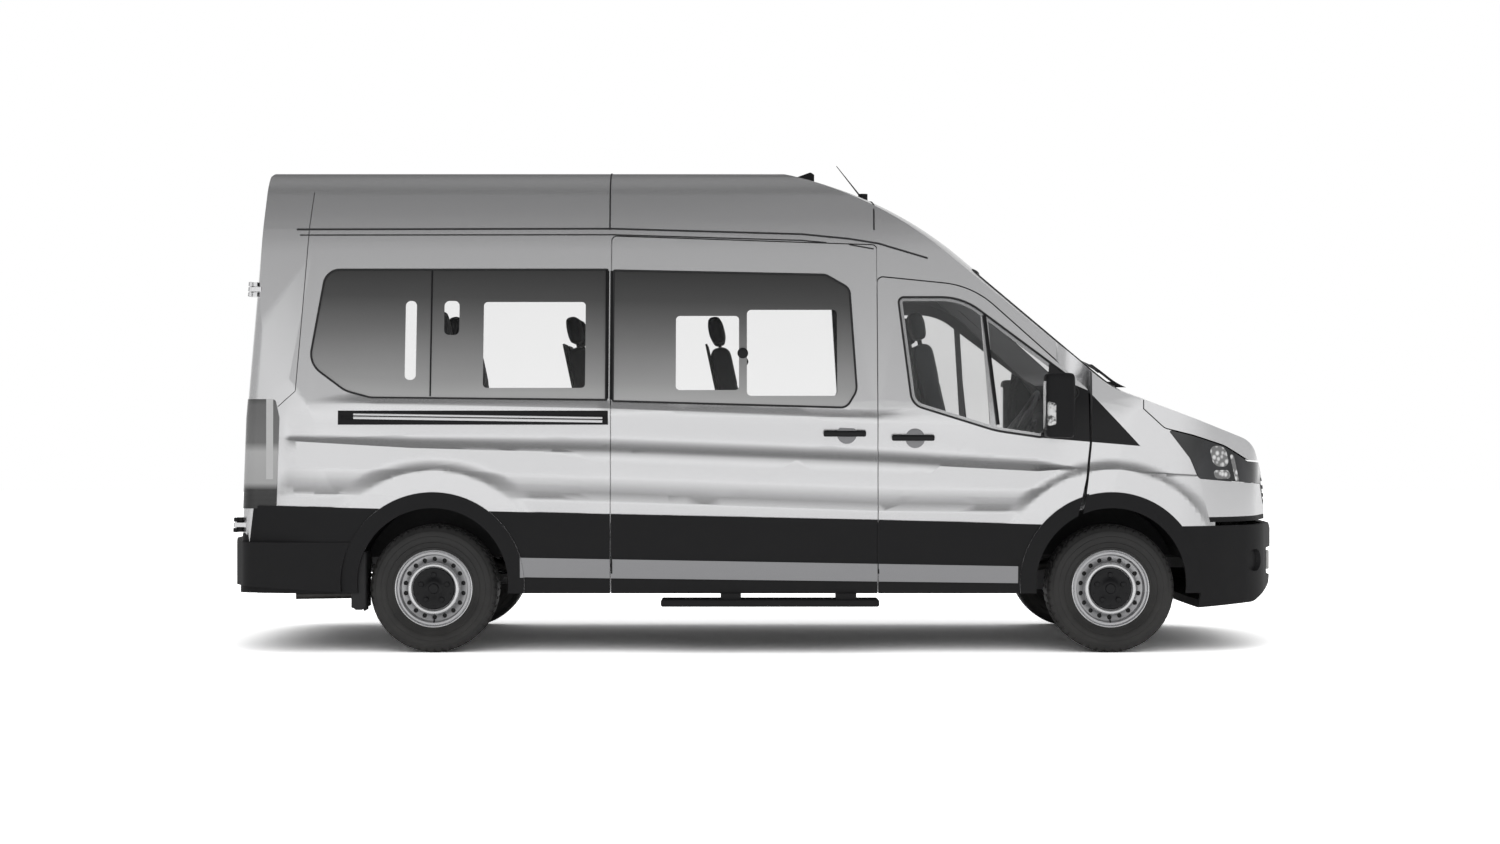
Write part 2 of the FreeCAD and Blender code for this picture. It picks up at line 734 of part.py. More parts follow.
def rear_hinge_parts(sign, fixed):
    """Hinge leaves of a rear door: the fixed one, or the door's own."""
    base, along = rear_hinge_axis(sign)
    solids = []
    for level in (705.0, 2015.0):
        at = base + along * ((level - base.z) / along.z)
        y = at.y
        if fixed:
            pin = Part.makeCylinder(6, 84, at - along * 42, along)
            knuckle = Part.makeCylinder(13, 24, at - along * 12, along)
            near, far = sorted((y, sign * (D.rear_hinge_half + 8)))
            leaf = Part.makeBox(60, 22, 24, V(at.x, y - 11, at.z - 12))
            piece = pin.fuse(knuckle).fuse(leaf.cut(inside(0)))
        else:
            ends = [Part.makeCylinder(13, 22, at + along * offset, along) for offset in (18.0, -40.0)]
            near, far = sorted((y, sign * (D.rear_door_half - 60)))
            strap = Part.makeBox(44, far - near, 80, V(at.x - 8, near, at.z - 40))
            strap = strap.cut(Part.makeBox(200, 200, 36, V(at.x - 100, y - 100 + sign * 75, at.z - 18)))
            bore = Part.makeCylinder(6 + D.pin_gap, 90, at - along * 45, along)
            piece = ends[0].fuse(ends[1]).fuse(strap.cut(inside(0))).cut(bore)
        solids.append(piece)
    return solids


def rear_hinge_axis(sign):
    lean = math.radians(D.rear_hinge_lean)
    along = V(math.sin(lean), 0, math.cos(lean))
    base = V(D.rear_face - 6, sign * D.rear_hinge_half, 705)
    return base, along


# --------------------------------------------------------------- front end
def bonnet():
    shape = shell(0, D.panel).common(side_prism(bonnet_rows()))
    for _, sign in SIDES:
        y = sign * D.bonnet_hinge_half
        room = Part.makeBox(40, 60, 80, V(D.bonnet_hinge_x - 22, y - 30, D.bonnet_hinge_z - 71))
        lug = Part.makeBox(34, 16, 30, V(D.bonnet_hinge_x - 8, y - 8, D.bonnet_hinge_z - 18))
        shape = shape.cut(room).fuse(lug.common(inside(2)))
        shape = shape.cut(disc(D.bonnet_hinge_x, D.bonnet_hinge_z, 5 + D.pin_gap, y - 9, y + 9))
    return shape


def bonnet_hinge_pins():
    solids = []
    for _, sign in SIDES:
        y = sign * D.bonnet_hinge_half
        pin = disc(D.bonnet_hinge_x, D.bonnet_hinge_z, 5, y - 22, y + 22)
        for near in (y - 22, y + 14):
            ear = Part.makeBox(16, 8, 48, V(D.bonnet_hinge_x - 8, near, D.bonnet_hinge_z - 48))
            back = Part.makeBox(120, 8, 20, V(D.bonnet_hinge_x - 120, near, D.bonnet_hinge_z - 48))
            pin = pin.fuse([ear, disc(D.bonnet_hinge_x, D.bonnet_hinge_z, 8, near, near + 8), back])
        solids.append(pin)
    return solids[0].fuse(solids[1])


def front_corner():
    """Region ahead of the seam between the fender and the painted bumper."""
    return side_prism([(2464, 1000, 0), (2464, 962, 0), (2528, 720, 0), (3200, 720, 0), (3200, 1000, 0)])


GRILLE = [                # y, z, radius
    (480, 1046, 40),
    (520, 930, 60),
    (420, 800, 60),
    (-420, 800, 60),
    (-520, 930, 60),
    (-480, 1046, 40),
]


def fender(sign):
    region = slab(x=(D.hinge_x + 36, 2560), y=side_span(sign, 500), z=(700, 1460))
    shape = shell(0, D.panel).common(region)
    shape = shape.cut(front_door_zone(D.door_gap, sign))
    shape = shape.cut(hinge_nose(D.door_gap, sign)).cut(lip_sweep(sign))
    shape = shape.cut(side_prism(inset(bonnet_rows(), -D.shut_gap)))
    shape = shape.cut(side_prism(LAMP)).cut(front_corner())
    shape = shape.cut(arch(D.liner_radius, D.front_axle))
    return shape.cut(NODES["cab_frame"].Shape)


def bumper_rows():
    """Front bumper along the centre line, columns x, z, radius."""
    nose = D.bumper_front
    return [
        (1800, 740, 0),
        (nose - 34, 740, 20),
        (nose, 668, 40),
        (nose, 475, 100),
        (nose - 14, 350, 60),
        (nose - 120, 268, 60),
        (2380, 236, 60),
        (1800, 300, 0),
    ]


def bumper_plan():
    half = [
        (1700, 1020, 0),
        (2500, 968, 700),
        (2845, 745, 420),
        (D.bumper_front + 30, 250, 700),
        (D.bumper_front + 40, 0, 0),
    ]
    return half + [(a, -b, r) for a, b, r in reversed(half[:-1])]


def bumper_solid(depth):
    half = math.sqrt(0.5)
    rows = [(a, b, r) for a, b, r in inset(bumper_rows(), depth)]
    wire = outline(rows, lambda p: V(PIVOT + (p.x - PIVOT) * half, -(p.x - PIVOT) * half, p.y))
    shape = Part.Face(wire).revolve(V(PIVOT, 0, 0), V(0, 0, 1), 90)
    return shape.common(plan_prism(inset(bumper_plan(), depth)))


def front_bumper():
    lower = bumper_solid(0).cut(bumper_solid(40).fuse(slab(z=(700, 900)).common(bumper_solid(0))))
    upper = shell(0, D.panel).common(front_corner()).common(slab(z=(700, 1000)))
    upper = upper.cut(side_prism(LAMP)).cut(end_prism(GRILLE, 2400, FAR))
    upper = upper.cut(side_prism(bonnet_rows()))
    shape = lower.fuse(upper)
    for _, sign in SIDES:
        recess = Part.makeCylinder(62, 300, V(2700, sign * 745, 500), V(1, 0, 0))
        shape = shape.cut(recess)
    intake = end_prism([(-520, 400, 40), (520, 400, 40), (560, 560, 40), (-560, 560, 40)], 2700, FAR)
    shape = shape.cut(intake)
    shape = shape.cut(arch(D.arch_outer, D.front_axle))
    return shape.cut(slab(x=(-FAR, D.front_axle)))


def grille():
    frame = shell(0, 34).common(end_prism(GRILLE, 2400, FAR))
    shape = frame.cut(end_prism(inset(GRILLE, 26), 2400, FAR))
    for level in (846, 892, 938, 984):
        bar = frame.common(slab(x=(2400, FAR), z=(level, level + 20)))
        shape = shape.fuse(bar)
    post = frame.common(slab(x=(2400, FAR), y=(-14, 14)))
    return shape.fuse(post)


def headlamps():
    solids = []
    for _, sign in SIDES:
        lamp = shell(-3, 70).common(side_prism(inset(LAMP, 2)))
        lamp = lamp.common(slab(y=side_span(sign, 500)))
        lamp = lamp.cut(end_prism(GRILLE, 2400, FAR))
        solids.append(lamp.cut(side_prism(bonnet_rows())))
    return Part.Compound(solids)


def fog_lamps():
    solids = []
    for _, sign in SIDES:
        shape = bumper_solid(25).cut(bumper_solid(70))
        solids.append(shape.common(Part.makeCylinder(62, 300, V(2700, sign * 745, 500), V(1, 0, 0))))
    return solids


# ---------------------------------------------------------- trim and rear end
def cladding_line():
    """Upper edge of the black cladding, columns x, z, radius."""
    return [(-3100, 300, 0), (-3100, 816, 0), (-2650, 813, 0), (-810, 769, 0), (674, 737, 0),
            (1582, 712, 0), (1900, 708, 0), (1900, 300, 0)]


def cladding(x_low, x_high, sign):
    """Black cladding with its bright strip, between two stations."""
    region = side_prism(cladding_line()).common(slab(x=(x_low, x_high), y=side_span(sign)))
    skin = shell(-D.trim, 0).common(region)
    strip = side_prism([(-2300, 432, 0), (-2300, 545, 12), (1600, 478, 12), (1600, 385, 0)])
    proud = shell(-D.trim - 5, 0).common(region).common(strip)
    shape = skin.fuse(proud).common(slab(z=(D.sill_height, FAR)))
    for x in (D.front_axle, REAR_AXLE):
        shape = shape.cut(arch(D.arch_outer + 1, x))
    return shape


def arch_ring(x, sign):
    """Black lip round one wheel arch."""
    ring = arch(D.arch_outer, x).cut(arch(D.arch_inner, x)).common(slab(z=(D.sill_height, FAR)))
    return ring.common(shell(-22, 0)).common(slab(y=side_span(sign)))


def arch_trims():
    """Lips of the rear arches, and the fixed part of the front ones ahead of the doors."""
    solids = []
    for _, sign in SIDES:
        solids.append(arch_ring(REAR_AXLE, sign))
        ahead = arch_ring(D.front_axle, sign).cut(side_prism(inset(front_door_rows(), -D.door_gap)))
        solids.append(ahead.cut(hinge_nose(18, sign)))
    return solids


def bumper_rear_rows():
    half = [
        (D.bumper_rear, 0, 0),
        (D.bumper_rear + 6, 420, 200),
        (D.bumper_rear + 94, 850, 120),
        (D.bumper_rear + 170, 990, 120),
        (-2600, 1028, 300),
        (REAR_AXLE - 400, 1028, 0),
    ]
    return half + [(a, -b, r) for a, b, r in reversed(half[1:])]


def rear_bumper():
    rows = bumper_rear_rows()
    outer = plan_prism(rows, 337, 612)
    inner = plan_prism(inset(rows, 35), 300, 590)
    shape = outer.cut(inner)
    shape = shape.cut(inside(0).common(slab(z=(0, 590))))
    slope = side_prism([(-3100, 200, 0), (-3100, 383, 0), (-2250, 337, 0), (-2250, 200, 0)])
    shape = shape.cut(slope).cut(inside(0))
    return shape.cut(arch(D.arch_outer + 1, REAR_AXLE)).cut(slab(x=(REAR_AXLE, FAR)))


# ------------------------------------------------------------------ inside
def floor():
    shape = inside(D.wall).common(slab(x=(-FAR, 1990), z=(D.floor_top - D.floor_depth, D.floor_top)))
    for x in (D.front_axle, REAR_AXLE):
        for _, sign in SIDES:
            shape = shape.cut(arch(D.liner_radius + 6, x, *side_span(sign, liner_wall(x))))
    shape = shape.cut(NODES["cab_frame"].Shape)
    shape = shape.cut(slab(x=(D.slide_rear + 40, D.slide_front - 40), y=(-FAR, -620)))
    step = inside(D.wall).common(slab(x=(D.slide_rear + 60, D.slide_front - 60), y=(-FAR, -600), z=(430, 450)))
    riser = inside(D.wall).common(slab(x=(D.slide_rear + 40, D.slide_front - 40), y=(-620, -600),
                                       z=(430, D.floor_top)))
    ends = []
    for x in (D.slide_rear + 40, D.slide_front - 60):
        ends.append(inside(D.wall).common(slab(x=(x, x + 20), y=(-FAR, -600), z=(430, D.floor_top))))
    return shape.fuse([step, riser] + ends).removeSplitter()


def liner_wall(x):
    """Inner face of a wheel housing from the middle plane."""
    return D.king_half - 240 if x > 0 else D.half_track - 175


def wheel_liners():
    solids = []
    for _, x in AXLES:
        for _, sign in SIDES:
            near = liner_wall(x)
            ring = arch(D.liner_radius + 6, x, *side_span(sign, near, 1100))
            ring = ring.cut(arch(D.liner_radius, x, *side_span(sign, near + 6, 1100)))
            shape = ring.common(slab(z=(D.rail_low + 20, FAR)))
            shape = shape.common(inside(D.wall if x < 0 else D.panel))
            if x > 0:
                shape = shape.cut(NODES["cab_frame"].Shape).cut(front_door_zone(D.door_gap, sign))
                shape = shape.cut(hinge_nose(D.door_gap, sign)).cut(lip_sweep(sign))
                shape = shape.cut(slab(x=(x - 75, x + 75), z=(0, 640), y=side_span(sign, near - 1, near + 20)))
            solids.append(shape)
    return Part.Compound(solids)


SEAT_ROWS = (             # x of the seat's rear edge, y of the seats
    (1060, (D.driver_side, -D.driver_side)),
    (-2330, (-618, -206, 206, 618)),
    (-1650, (-618, 206, 618)),
    (-950, (206, 618)),
    (-100, (206, 618)),
)


def cushions():
    """Cushion, backrest and headrest of each seat."""
    solids = []
    for x, places in SEAT_ROWS:
        base = D.floor_top
        for y in places:
            seat = Part.makeBox(460, 410, 120, V(x, y - 205, base + 300))
            back = Part.makeBox(110, 410, 640, V(x - 40, y - 205, base + 425))
            back.rotate(V(x - 40, y, base + 425), V(0, 1, 0), -12)
            head = Part.makeBox(80, 260, 170, V(x - 20, y - 130, base + 1065 + D.seat_gap))
            head.rotate(V(x - 40, y, base + 425), V(0, 1, 0), -12)
            solids += [seat, back, head]
    return Part.Compound(solids)


def seat_frames():
    solids = []
    for x, places in SEAT_ROWS:
        base = D.floor_top
        for y in places:
            legs = Part.makeBox(360, 136, 260, V(x + 40, y - 68, base))
            legs = legs.cut(Part.makeBox(300, 200, 230, V(x + 70, y - 100, base - 1)))
            pan = Part.makeBox(420, 360, 39.7, V(x + 10, y - 180, base + 260))
            back = Part.makeBox(12, 300, 680, V(x - 62, y - 150, base + 400))
            back.rotate(V(x - 40, y, base + 425), V(0, 1, 0), -12)
            arm = Part.makeBox(90, 24, 30, V(x - 62, y - 12, base + 265))
            post = Part.makeBox(20, 24, 180, V(x - 64, y - 12, base + 265))
            solids.append(legs.fuse([pan, back, arm, post]))
    return Part.Compound(solids)


def dashboard():
    rows = [(1690, 1180, 60), (1740, 1330, 60), (1980, 1380, 30), (1989, 1000, 0), (1860, 940, 60)]
    return side_prism(rows, -790, 790).common(inside(D.frame_depth + 2)).cut(NODES["cab_frame"].Shape)


# ------------------------------------------------------------ running gear
def chassis():
    parts = []
    for side, sign in SIDES:
        near = "rail_half - rail_width / 2" if sign > 0 else "-rail_half - rail_width / 2"
        far = near + " + rail_width"
        parts.append(block("rail_" + side, ("rail_rear", "rail_front"), (near, far),
                           ("rail_low", "floor_top - floor_depth")))
    for number, x in enumerate(CROSS_MEMBERS):
        parts.append(block("cross_%d" % number, (x, "%s + 60" % x), ("-rail_half", "rail_half"),
                           ("rail_low + 20", "floor_top - floor_depth - 20")))
    parts.append(block("subframe", ("front_axle - 130", "front_axle + 130"), ("-rail_half - 35", "rail_half + 35"),
                       ("tyre_radius - ball_rise - 30", "tyre_radius - ball_rise + 20")))
    for side, sign in SIDES:
        low = "%s * rail_half - 35" % ("1" if sign > 0 else "-1")
        parts.append(block("tower_" + side, ("front_axle - 60", "front_axle + 60"), (low, low + " + 70"),
                           ("tyre_radius - ball_rise", "rail_low + 10")))
        for number, x in enumerate(("-1180", "-2384")):
            spread = ("rail_half - 35", "rail_half + 35") if sign > 0 else ("-rail_half - 35", "35 - rail_half")
            parts.append(block("hanger_%s_%d" % (side, number), (x, x + " + 40"), spread,
                               ("tyre_radius + axle_tube + 6", "rail_low + 1")))
        for number, x in enumerate(OUTRIGGERS):
            wide = ("rail_half", "body_half - frame_depth - 8")
            if sign < 0:
                wide = ("frame_depth + 8 - body_half", "-rail_half")
            parts.append(block("outrigger_%s_%d" % (side, number), (x, "%s + 50" % x), wide,
                               ("floor_top - floor_depth - 60", "floor_top - floor_depth")))
    whole = joined("frame_rails", parts)
    holes = []
    for number, (along, up) in enumerate(((-1, -1), (-1, 1), (1, -1), (1, 1))):
        at = ("rail_rear + 140 + %d * tow_spread / 2" % along, "-rail_half - rail_width",
              "rail_low + 70 + %d * tow_rise / 2" % up)
        for side, start in (("right", at[1]), ("left", "rail_half - rail_width")):
            holes.append(rod("tow_hole_%s_%d" % (side, number), "y", "tow_bolt",
                             (at[0], start, at[2]), "rail_width * 2"))
    return less("chassis", whole, joined("tow_holes", holes))


CROSS_MEMBERS = (-2735, -2100, -1350, -600, 250, 1150, 2605)
OUTRIGGERS = (-2350, -1240, 760)


def front_arms(name, level, sign):
    """One wishbone: an arm from the chassis rail out to the ball pin."""
    side = "left" if sign > 0 else "right"
    out = ("rail_half + 35", "king_half + 22") if sign > 0 else ("-king_half - 22", "-rail_half - 35")
    arm = block("%s_%s" % (name, side), ("front_axle - 38", "front_axle + 38"), out,
                ("tyre_radius + %s - 12" % level, "tyre_radius + %s + 12" % level))
    root = ("rail_half + 35", "rail_half + 90") if sign > 0 else ("-rail_half - 90", "-rail_half - 35")
    wide = block("%s_root_%s" % (name, side), ("front_axle - 120", "front_axle + 120"), root,
                 ("tyre_radius + %s - 12" % level, "tyre_radius + %s + 12" % level))
    return [arm, wide]


def front_suspension():
    parts = []
    for side, sign in SIDES:
        parts += front_arms("lower_arm", "(-ball_rise)", sign)
        parts += front_arms("upper_arm", "ball_rise", sign)
        y = "%d * king_half" % sign
        parts.append(rod("lower_pin_" + side, "z", "11",
                         ("front_axle", y, "tyre_radius - ball_rise"), "46"))
        parts.append(rod("upper_pin_" + side, "z", "11",
                         ("front_axle", y, "tyre_radius + ball_rise - 46"), "46"))
        damper = "%d * (rail_half + 160)" % sign
        parts.append(rod("damper_" + side, "z", "26",
                         ("front_axle", damper, "tyre_radius - ball_rise"), "ball_rise * 2 + 120"))
        parts.append(rod("spring_" + side, "z", "52",
                         ("front_axle", damper, "tyre_radius - ball_rise + 40"), "ball_rise * 2 - 60"))
        brace = ("rail_half + 35", "rail_half + 200") if sign > 0 else ("-rail_half - 200", "-rail_half - 35")
        parts.append(block("tower_top_" + side, ("front_axle - 60", "front_axle + 60"), brace,
                           ("tyre_radius + ball_rise + 110", "tyre_radius + ball_rise + 130")))
    return joined("front_suspension", parts)


def knuckle(side, sign):
    """Upright with hub stub, ball joint lugs and brake caliper."""
    y = "%d * king_half" % sign
    parts = [rod("post_" + side, "z", "24", ("front_axle", y, "tyre_radius - ball_rise + 18"),
                 "ball_rise * 2 - 36")]
    start = "king_half" if sign > 0 else "-half_track - 20"
    parts.append(rod("stub_" + side, "y", "hub_bore - pin_gap", ("front_axle", start, "tyre_radius"),
                     "half_track + 20 - king_half"))
    out = ("king_half + 10", "king_half + 60") if sign > 0 else ("-king_half - 60", "-king_half - 10")
    parts.append(block("caliper_" + side, ("front_axle + 60", "front_axle + 150"), out,
                       ("tyre_radius - 50", "tyre_radius + 60")))
    spread = ("king_half - 10", "king_half + 12") if sign > 0 else ("-king_half - 12", "10 - king_half")
    parts.append(block("bridge_" + side, ("front_axle", "front_axle + 150"), spread,
                       ("tyre_radius - 30", "tyre_radius + 30")))
    whole = joined("knuckle_solid_" + side, parts)
    bores = [rod("bore_%s_%d" % (side, number), "z", "11 + pin_gap", ("front_axle", y, z), "60")
             for number, z in enumerate(("tyre_radius - ball_rise", "tyre_radius + ball_rise - 60"))]
    return less("knuckle_" + side, whole, joined("knuckle_bores_" + side, bores))


def revolved(name, rows, at_x, at_y, at_z, sign):
    """PartDesign body turned about an axle; rows are (y outwards, radius) expressions."""
    item = DOC.addObject("PartDesign::Body", name)
    sketch = item.newObject("Sketcher::SketchObject", name + "_section")
    plane = [f for f in item.Origin.OriginFeatures if f.Role == "YZ_Plane"][0]
    sketch.AttachmentSupport = [(plane, "")]
    sketch.MapMode = "FlatFace"
    points = [(number_of(a) * sign, number_of(b)) for a, b in rows]
    count = len(points)
    for i in range(count):
        sketch.addGeometry(Part.LineSegment(V(*points[i], 0), V(*points[(i + 1) % count], 0)), False)
    for i in range(count):
        sketch.addConstraint(Sketcher.Constraint("Coincident", i, 2, (i + 1) % count, 1))
    for i, (a, b) in enumerate(rows):
        here = sketch.addConstraint(Sketcher.Constraint("DistanceX", i, 1, points[i][0]))
        sketch.setExpression("Constraints[%d]" % here, bound("%d * (%s)" % (sign, a)))
        here = sketch.addConstraint(Sketcher.Constraint("DistanceY", i, 1, points[i][1]))
        sketch.setExpression("Constraints[%d]" % here, bound(b))
    turn = item.newObject("PartDesign::Revolution", name + "_turned")
    turn.Profile = sketch
    turn.ReferenceAxis = (sketch, ["H_Axis"])
    turn.Angle = 360
    for axis, text in zip("xyz", (at_x, at_y, at_z)):
        item.setExpression("Placement.Base." + axis, bound(text))
    return item


def number_of(text):
    """Value of an expression of size names, read from the sheet."""
    sheet_cell = "Z1"
    SHEET.set(sheet_cell, "=" + str(text))
    SHEET.recompute()
    value = SHEET.get(sheet_cell)
    SHEET.clear(sheet_cell)
    return float(value)


TYRE = (                  # y from the middle of the tyre, radius
    ("-tyre_width * 0.42", "seat_radius"),
    ("-tyre_width * 0.42", "rim_radius + 6"),
    ("-tyre_width * 0.5", "rim_radius + 50"),
    ("-tyre_width * 0.5", "tyre_radius - 60"),
    ("-tyre_width * 0.44", "tyre_radius - 14"),
    ("-tyre_width * 0.34", "tyre_radius"),
    ("tyre_width * 0.34", "tyre_radius"),
    ("tyre_width * 0.44", "tyre_radius - 14"),
    ("tyre_width * 0.5", "tyre_radius - 60"),
    ("tyre_width * 0.5", "rim_radius + 50"),
    ("tyre_width * 0.42", "rim_radius + 6"),
    ("tyre_width * 0.42", "seat_radius"),
)
RIM = (                   # y outwards from the middle of the tyre, radius
    ("-tyre_width * 0.42", "seat_radius"),
    ("tyre_width * 0.42", "seat_radius"),
    ("tyre_width * 0.42", "rim_radius - 26"),
    ("tyre_width * 0.25", "rim_radius - 34"),
    ("tyre_width * 0.20", "hole_circle - 24"),
    ("tyre_width * 0.30", "137"),
    ("tyre_width * 0.34", "118"),
    ("tyre_width * 0.34", "hub_bore"),
    ("tyre_width * -0.05", "hub_bore"),
    ("tyre_width * -0.05", "108"),
    ("tyre_width * 0.22", "112"),
    ("tyre_width * 0.10", "hole_circle - 30"),
    ("tyre_width * 0.14", "seat_radius - 12"),
    ("-tyre_width * 0.42", "seat_radius - 12"),
)


def wheel(name, x, sign):
    at = (x, "%d * half_track" % sign, "tyre_radius")
    node("tyre_" + name, revolved("tyre_" + name, TYRE, *at, sign))
    rim = revolved("rim_" + name, RIM, *at, sign)
    DOC.recompute()
    hole = rim.newObject("Sketcher::SketchObject", "hole_" + name)
    plane = [f for f in rim.Origin.OriginFeatures if f.Role == "XZ_Plane"][0]
    hole.AttachmentSupport = [(plane, "")]
    hole.MapMode = "FlatFace"
    hole.addGeometry(Part.Circle(V(0, D.hole_circle, 0), V(0, 0, 1), 13), False)
    hole.addConstraint(Sketcher.Constraint("Radius", 0, 13))
    hole.addConstraint(Sketcher.Constraint("DistanceX", 0, 3, 0))
    here = hole.addConstraint(Sketcher.Constraint("DistanceY", 0, 3, D.hole_circle))
    hole.setExpression("Constraints[%d]" % here, bound("hole_circle"))
    cut = rim.newObject("PartDesign::Pocket", "holes_" + name)
    cut.Profile = hole
    cut.Type = 1
    cut.Midplane = True
    ring = rim.newObject("PartDesign::PolarPattern", "ring_" + name)
    ring.Originals = [cut]
    ring.Axis = ([f for f in rim.Origin.OriginFeatures if f.Role == "Y_Axis"][0], [""])
    ring.Angle = 360
    ring.setExpression("Occurrences", bound("disc_holes"))
    rim.Tip = ring
    node("rim_" + name, rim)


def rear_axle():
    parts = [rod("axle_tube_solid", "y", "axle_tube", (str(REAR_AXLE), "-half_track + 60", "tyre_radius"),
                 "(half_track - 60) * 2")]
    for side, sign in SIDES:
        start = "half_track - 61" if sign > 0 else "-half_track - 20"
        parts.append(rod("rear_stub_" + side, "y", "hub_bore - pin_gap", (str(REAR_AXLE), start, "tyre_radius"), "81"))
        start = "half_track - 90" if sign > 0 else "-half_track + 60"
        parts.append(rod("rear_backing_" + side, "y", "150", (str(REAR_AXLE), start, "tyre_radius"), "30"))
        near = ("rail_half - 35", "rail_half + 35") if sign > 0 else ("-rail_half - 35", "35 - rail_half")
        parts.append(block("leaf_" + side, ("-2384", "-1140"), near,
                           ("tyre_radius + axle_tube - 12", "tyre_radius + axle_tube + 6")))
        parts.append(block("leaf_short_" + side, ("-2110", "-1450"), near,
                           ("tyre_radius + axle_tube - 30", "tyre_radius + axle_tube - 12")))
        parts.append(block("clamp_" + side, (str(REAR_AXLE - 60), str(REAR_AXLE + 60)), near,
                           ("tyre_radius", "tyre_radius + axle_tube + 24")))
    ball = DOC.addObject("Part::Sphere", "differential")
    ball.Radius = 140
    for axis, text in zip("xyz", (str(REAR_AXLE), "0", "tyre_radius")):
        ball.setExpression("Placement.Base." + axis, bound(text))
    parts.append(rod("pinion_nose", "x", "55", (str(REAR_AXLE), "0", "tyre_radius"), "190"))
    return joined("rear_axle", parts + [ball])


def drivetrain():
    parts = [
        block("engine", ("2040", "2600"), ("-270", "270"), ("430", "1060")),
        block("gearbox", ("1320", "2041"), ("-140", "140"), ("tyre_radius - 60", "rail_low + 100")),
        rod("propshaft", "x", "35", (str(REAR_AXLE + 190), "0", "tyre_radius"), str(1320 - REAR_AXLE - 190)),
    ]
    return joined("drivetrain", parts)


def fuel_tank():
    tank = DOC.addObject("PartDesign::Body", "fuel_tank")
    sketch = tank.newObject("Sketcher::SketchObject", "tank_outline")
    plane = [f for f in tank.Origin.OriginFeatures if f.Role == "XY_Plane"][0]
    sketch.AttachmentSupport = [(plane, "")]
    sketch.MapMode = "FlatFace"
    corners = ((-500, 490), (560, 490), (560, 850), (-500, 850))
    for i in range(4):
        sketch.addGeometry(Part.LineSegment(V(*corners[i], 0), V(*corners[(i + 1) % 4], 0)), False)
    for i in range(4):
        sketch.addConstraint(Sketcher.Constraint("Coincident", i, 2, (i + 1) % 4, 1))
    for i in range(4):
        sketch.addConstraint(Sketcher.Constraint("DistanceX", i, 1, corners[i][0]))
        sketch.addConstraint(Sketcher.Constraint("DistanceY", i, 1, corners[i][1]))
    pad = tank.newObject("PartDesign::Pad", "tank_depth")
    pad.Profile = sketch
    pad.Length = 260
    tank.Placement.Base = V(0, 0, 379.7)
    DOC.recompute()
    soft = tank.newObject("PartDesign::Fillet", "tank_edges")
    soft.Base = (pad, ["Edge%d" % (i + 1) for i in range(12)])
    soft.Radius = 35
    return tank


def exhaust():
    """Pipe from under the engine, over the rear axle, to the rear."""
    y = -240.0
    route = (             # x, y, z, bend radius
        (2040, y, 470, 0),
        (1800, y, 470, 300),
        (1500, y, 400, 300),
        (-1350, y, 400, 200),
        (-1560, y, 470, 200),
        (-1960, y, 470, 120),
        (-2120, -400, 302, 110),
        (-2230, -620, 302, 150),
        (-2595, -700, 302, 0),
    )
    edges, last = [], V(*route[0][:3])
    for i in range(1, len(route) - 1):
        corner = V(*route[i][:3])
        back = (V(*route[i - 1][:3]) - corner).normalize()
        ahead = (V(*route[i + 1][:3]) - corner).normalize()
        half = back.getAngle(ahead) / 2
        reach = route[i][3] / math.tan(half)
        centre = corner + (back + ahead).normalize() * (route[i][3] / math.sin(half))
        middle = centre + (corner - centre).normalize() * route[i][3]
        edges.append(Part.LineSegment(last, corner + back * reach).toShape())
        edges.append(Part.Arc(corner + back * reach, middle, corner + ahead * reach).toShape())
        last = corner + ahead * reach
    edges.append(Part.LineSegment(last, V(*route[-1][:3])).toShape())
    path = Part.Wire(edges)
    ring = Part.Wire(Part.makeCircle(26, V(*route[0][:3]), V(*route[1][:3]) - V(*route[0][:3])))
    pipe = path.makePipeShell([ring], True, True)
    silencer = Part.makeCylinder(95, 800, V(-600, y, 400), V(1, 0, 0))
    hangers = [Part.makeBox(30, 20, D.rail_low + 20 - low, V(x, y - 10, low))
               for x, low in ((-590, 470), (-1330, 415), (1165, 415))]
    hangers.append(Part.makeBox(24, 24, D.floor_top - D.floor_depth - 310, V(-2440, -677, 310)))
    return pipe.fuse([silencer] + hangers)


def side_step():
    tread = Part.makeBox(1205, 190, 40, V(-522, -1040, D.step_height - 52))
    tread = tread.makeFillet(12, tread.Edges)
    solids = [tread]
    for x in (-192, 445):
        solids.append(Part.makeBox(112, 140, D.sill_height - D.step_height + 40, V(x, -1020, D.step_height - 40)))
    return solids[0].fuse(solids[1:])


def wheel_steering():
    ring = Part.makeTorus(D.wheel_ring - 15, 15)
    hub = Part.makeCylinder(60, 50, V(0, 0, -40))
    solids = [hub]
    for angle in (90, 210, 330):
        spoke = Part.makeBox(D.wheel_ring - 15, 36, 14, V(0, -18, -20))
        spoke.rotate(V(), V(0, 0, 1), angle)
        solids.append(spoke)
    shaft = Part.makeCylinder(16, 170, V(0, 0, -200))
    solids.append(shaft)
    return ring.fuse(solids).removeSplitter()


COLUMN_TILT = 62.0        # degrees of the wheel's axis from upright, towards the driver
WHEEL_PLACE = (1640.0, 1290.0)      # x, z of the steering wheel's centre


def steering_placement():
    turn = FreeCAD.Rotation(V(0, 1, 0), -COLUMN_TILT)
    return FreeCAD.Placement(V(WHEEL_PLACE[0], D.driver_side, WHEEL_PLACE[1]), turn)


def steering_column():
    """Fixed jacket round the steering shaft."""
    jacket = Part.makeCylinder(40, 240, V(0, 0, -300))
    bore = Part.makeCylinder(16 + D.pin_gap, 220, V(0, 0, -205))
    for piece in (jacket, bore):
        piece.Placement = steering_placement()
    return jacket, bore


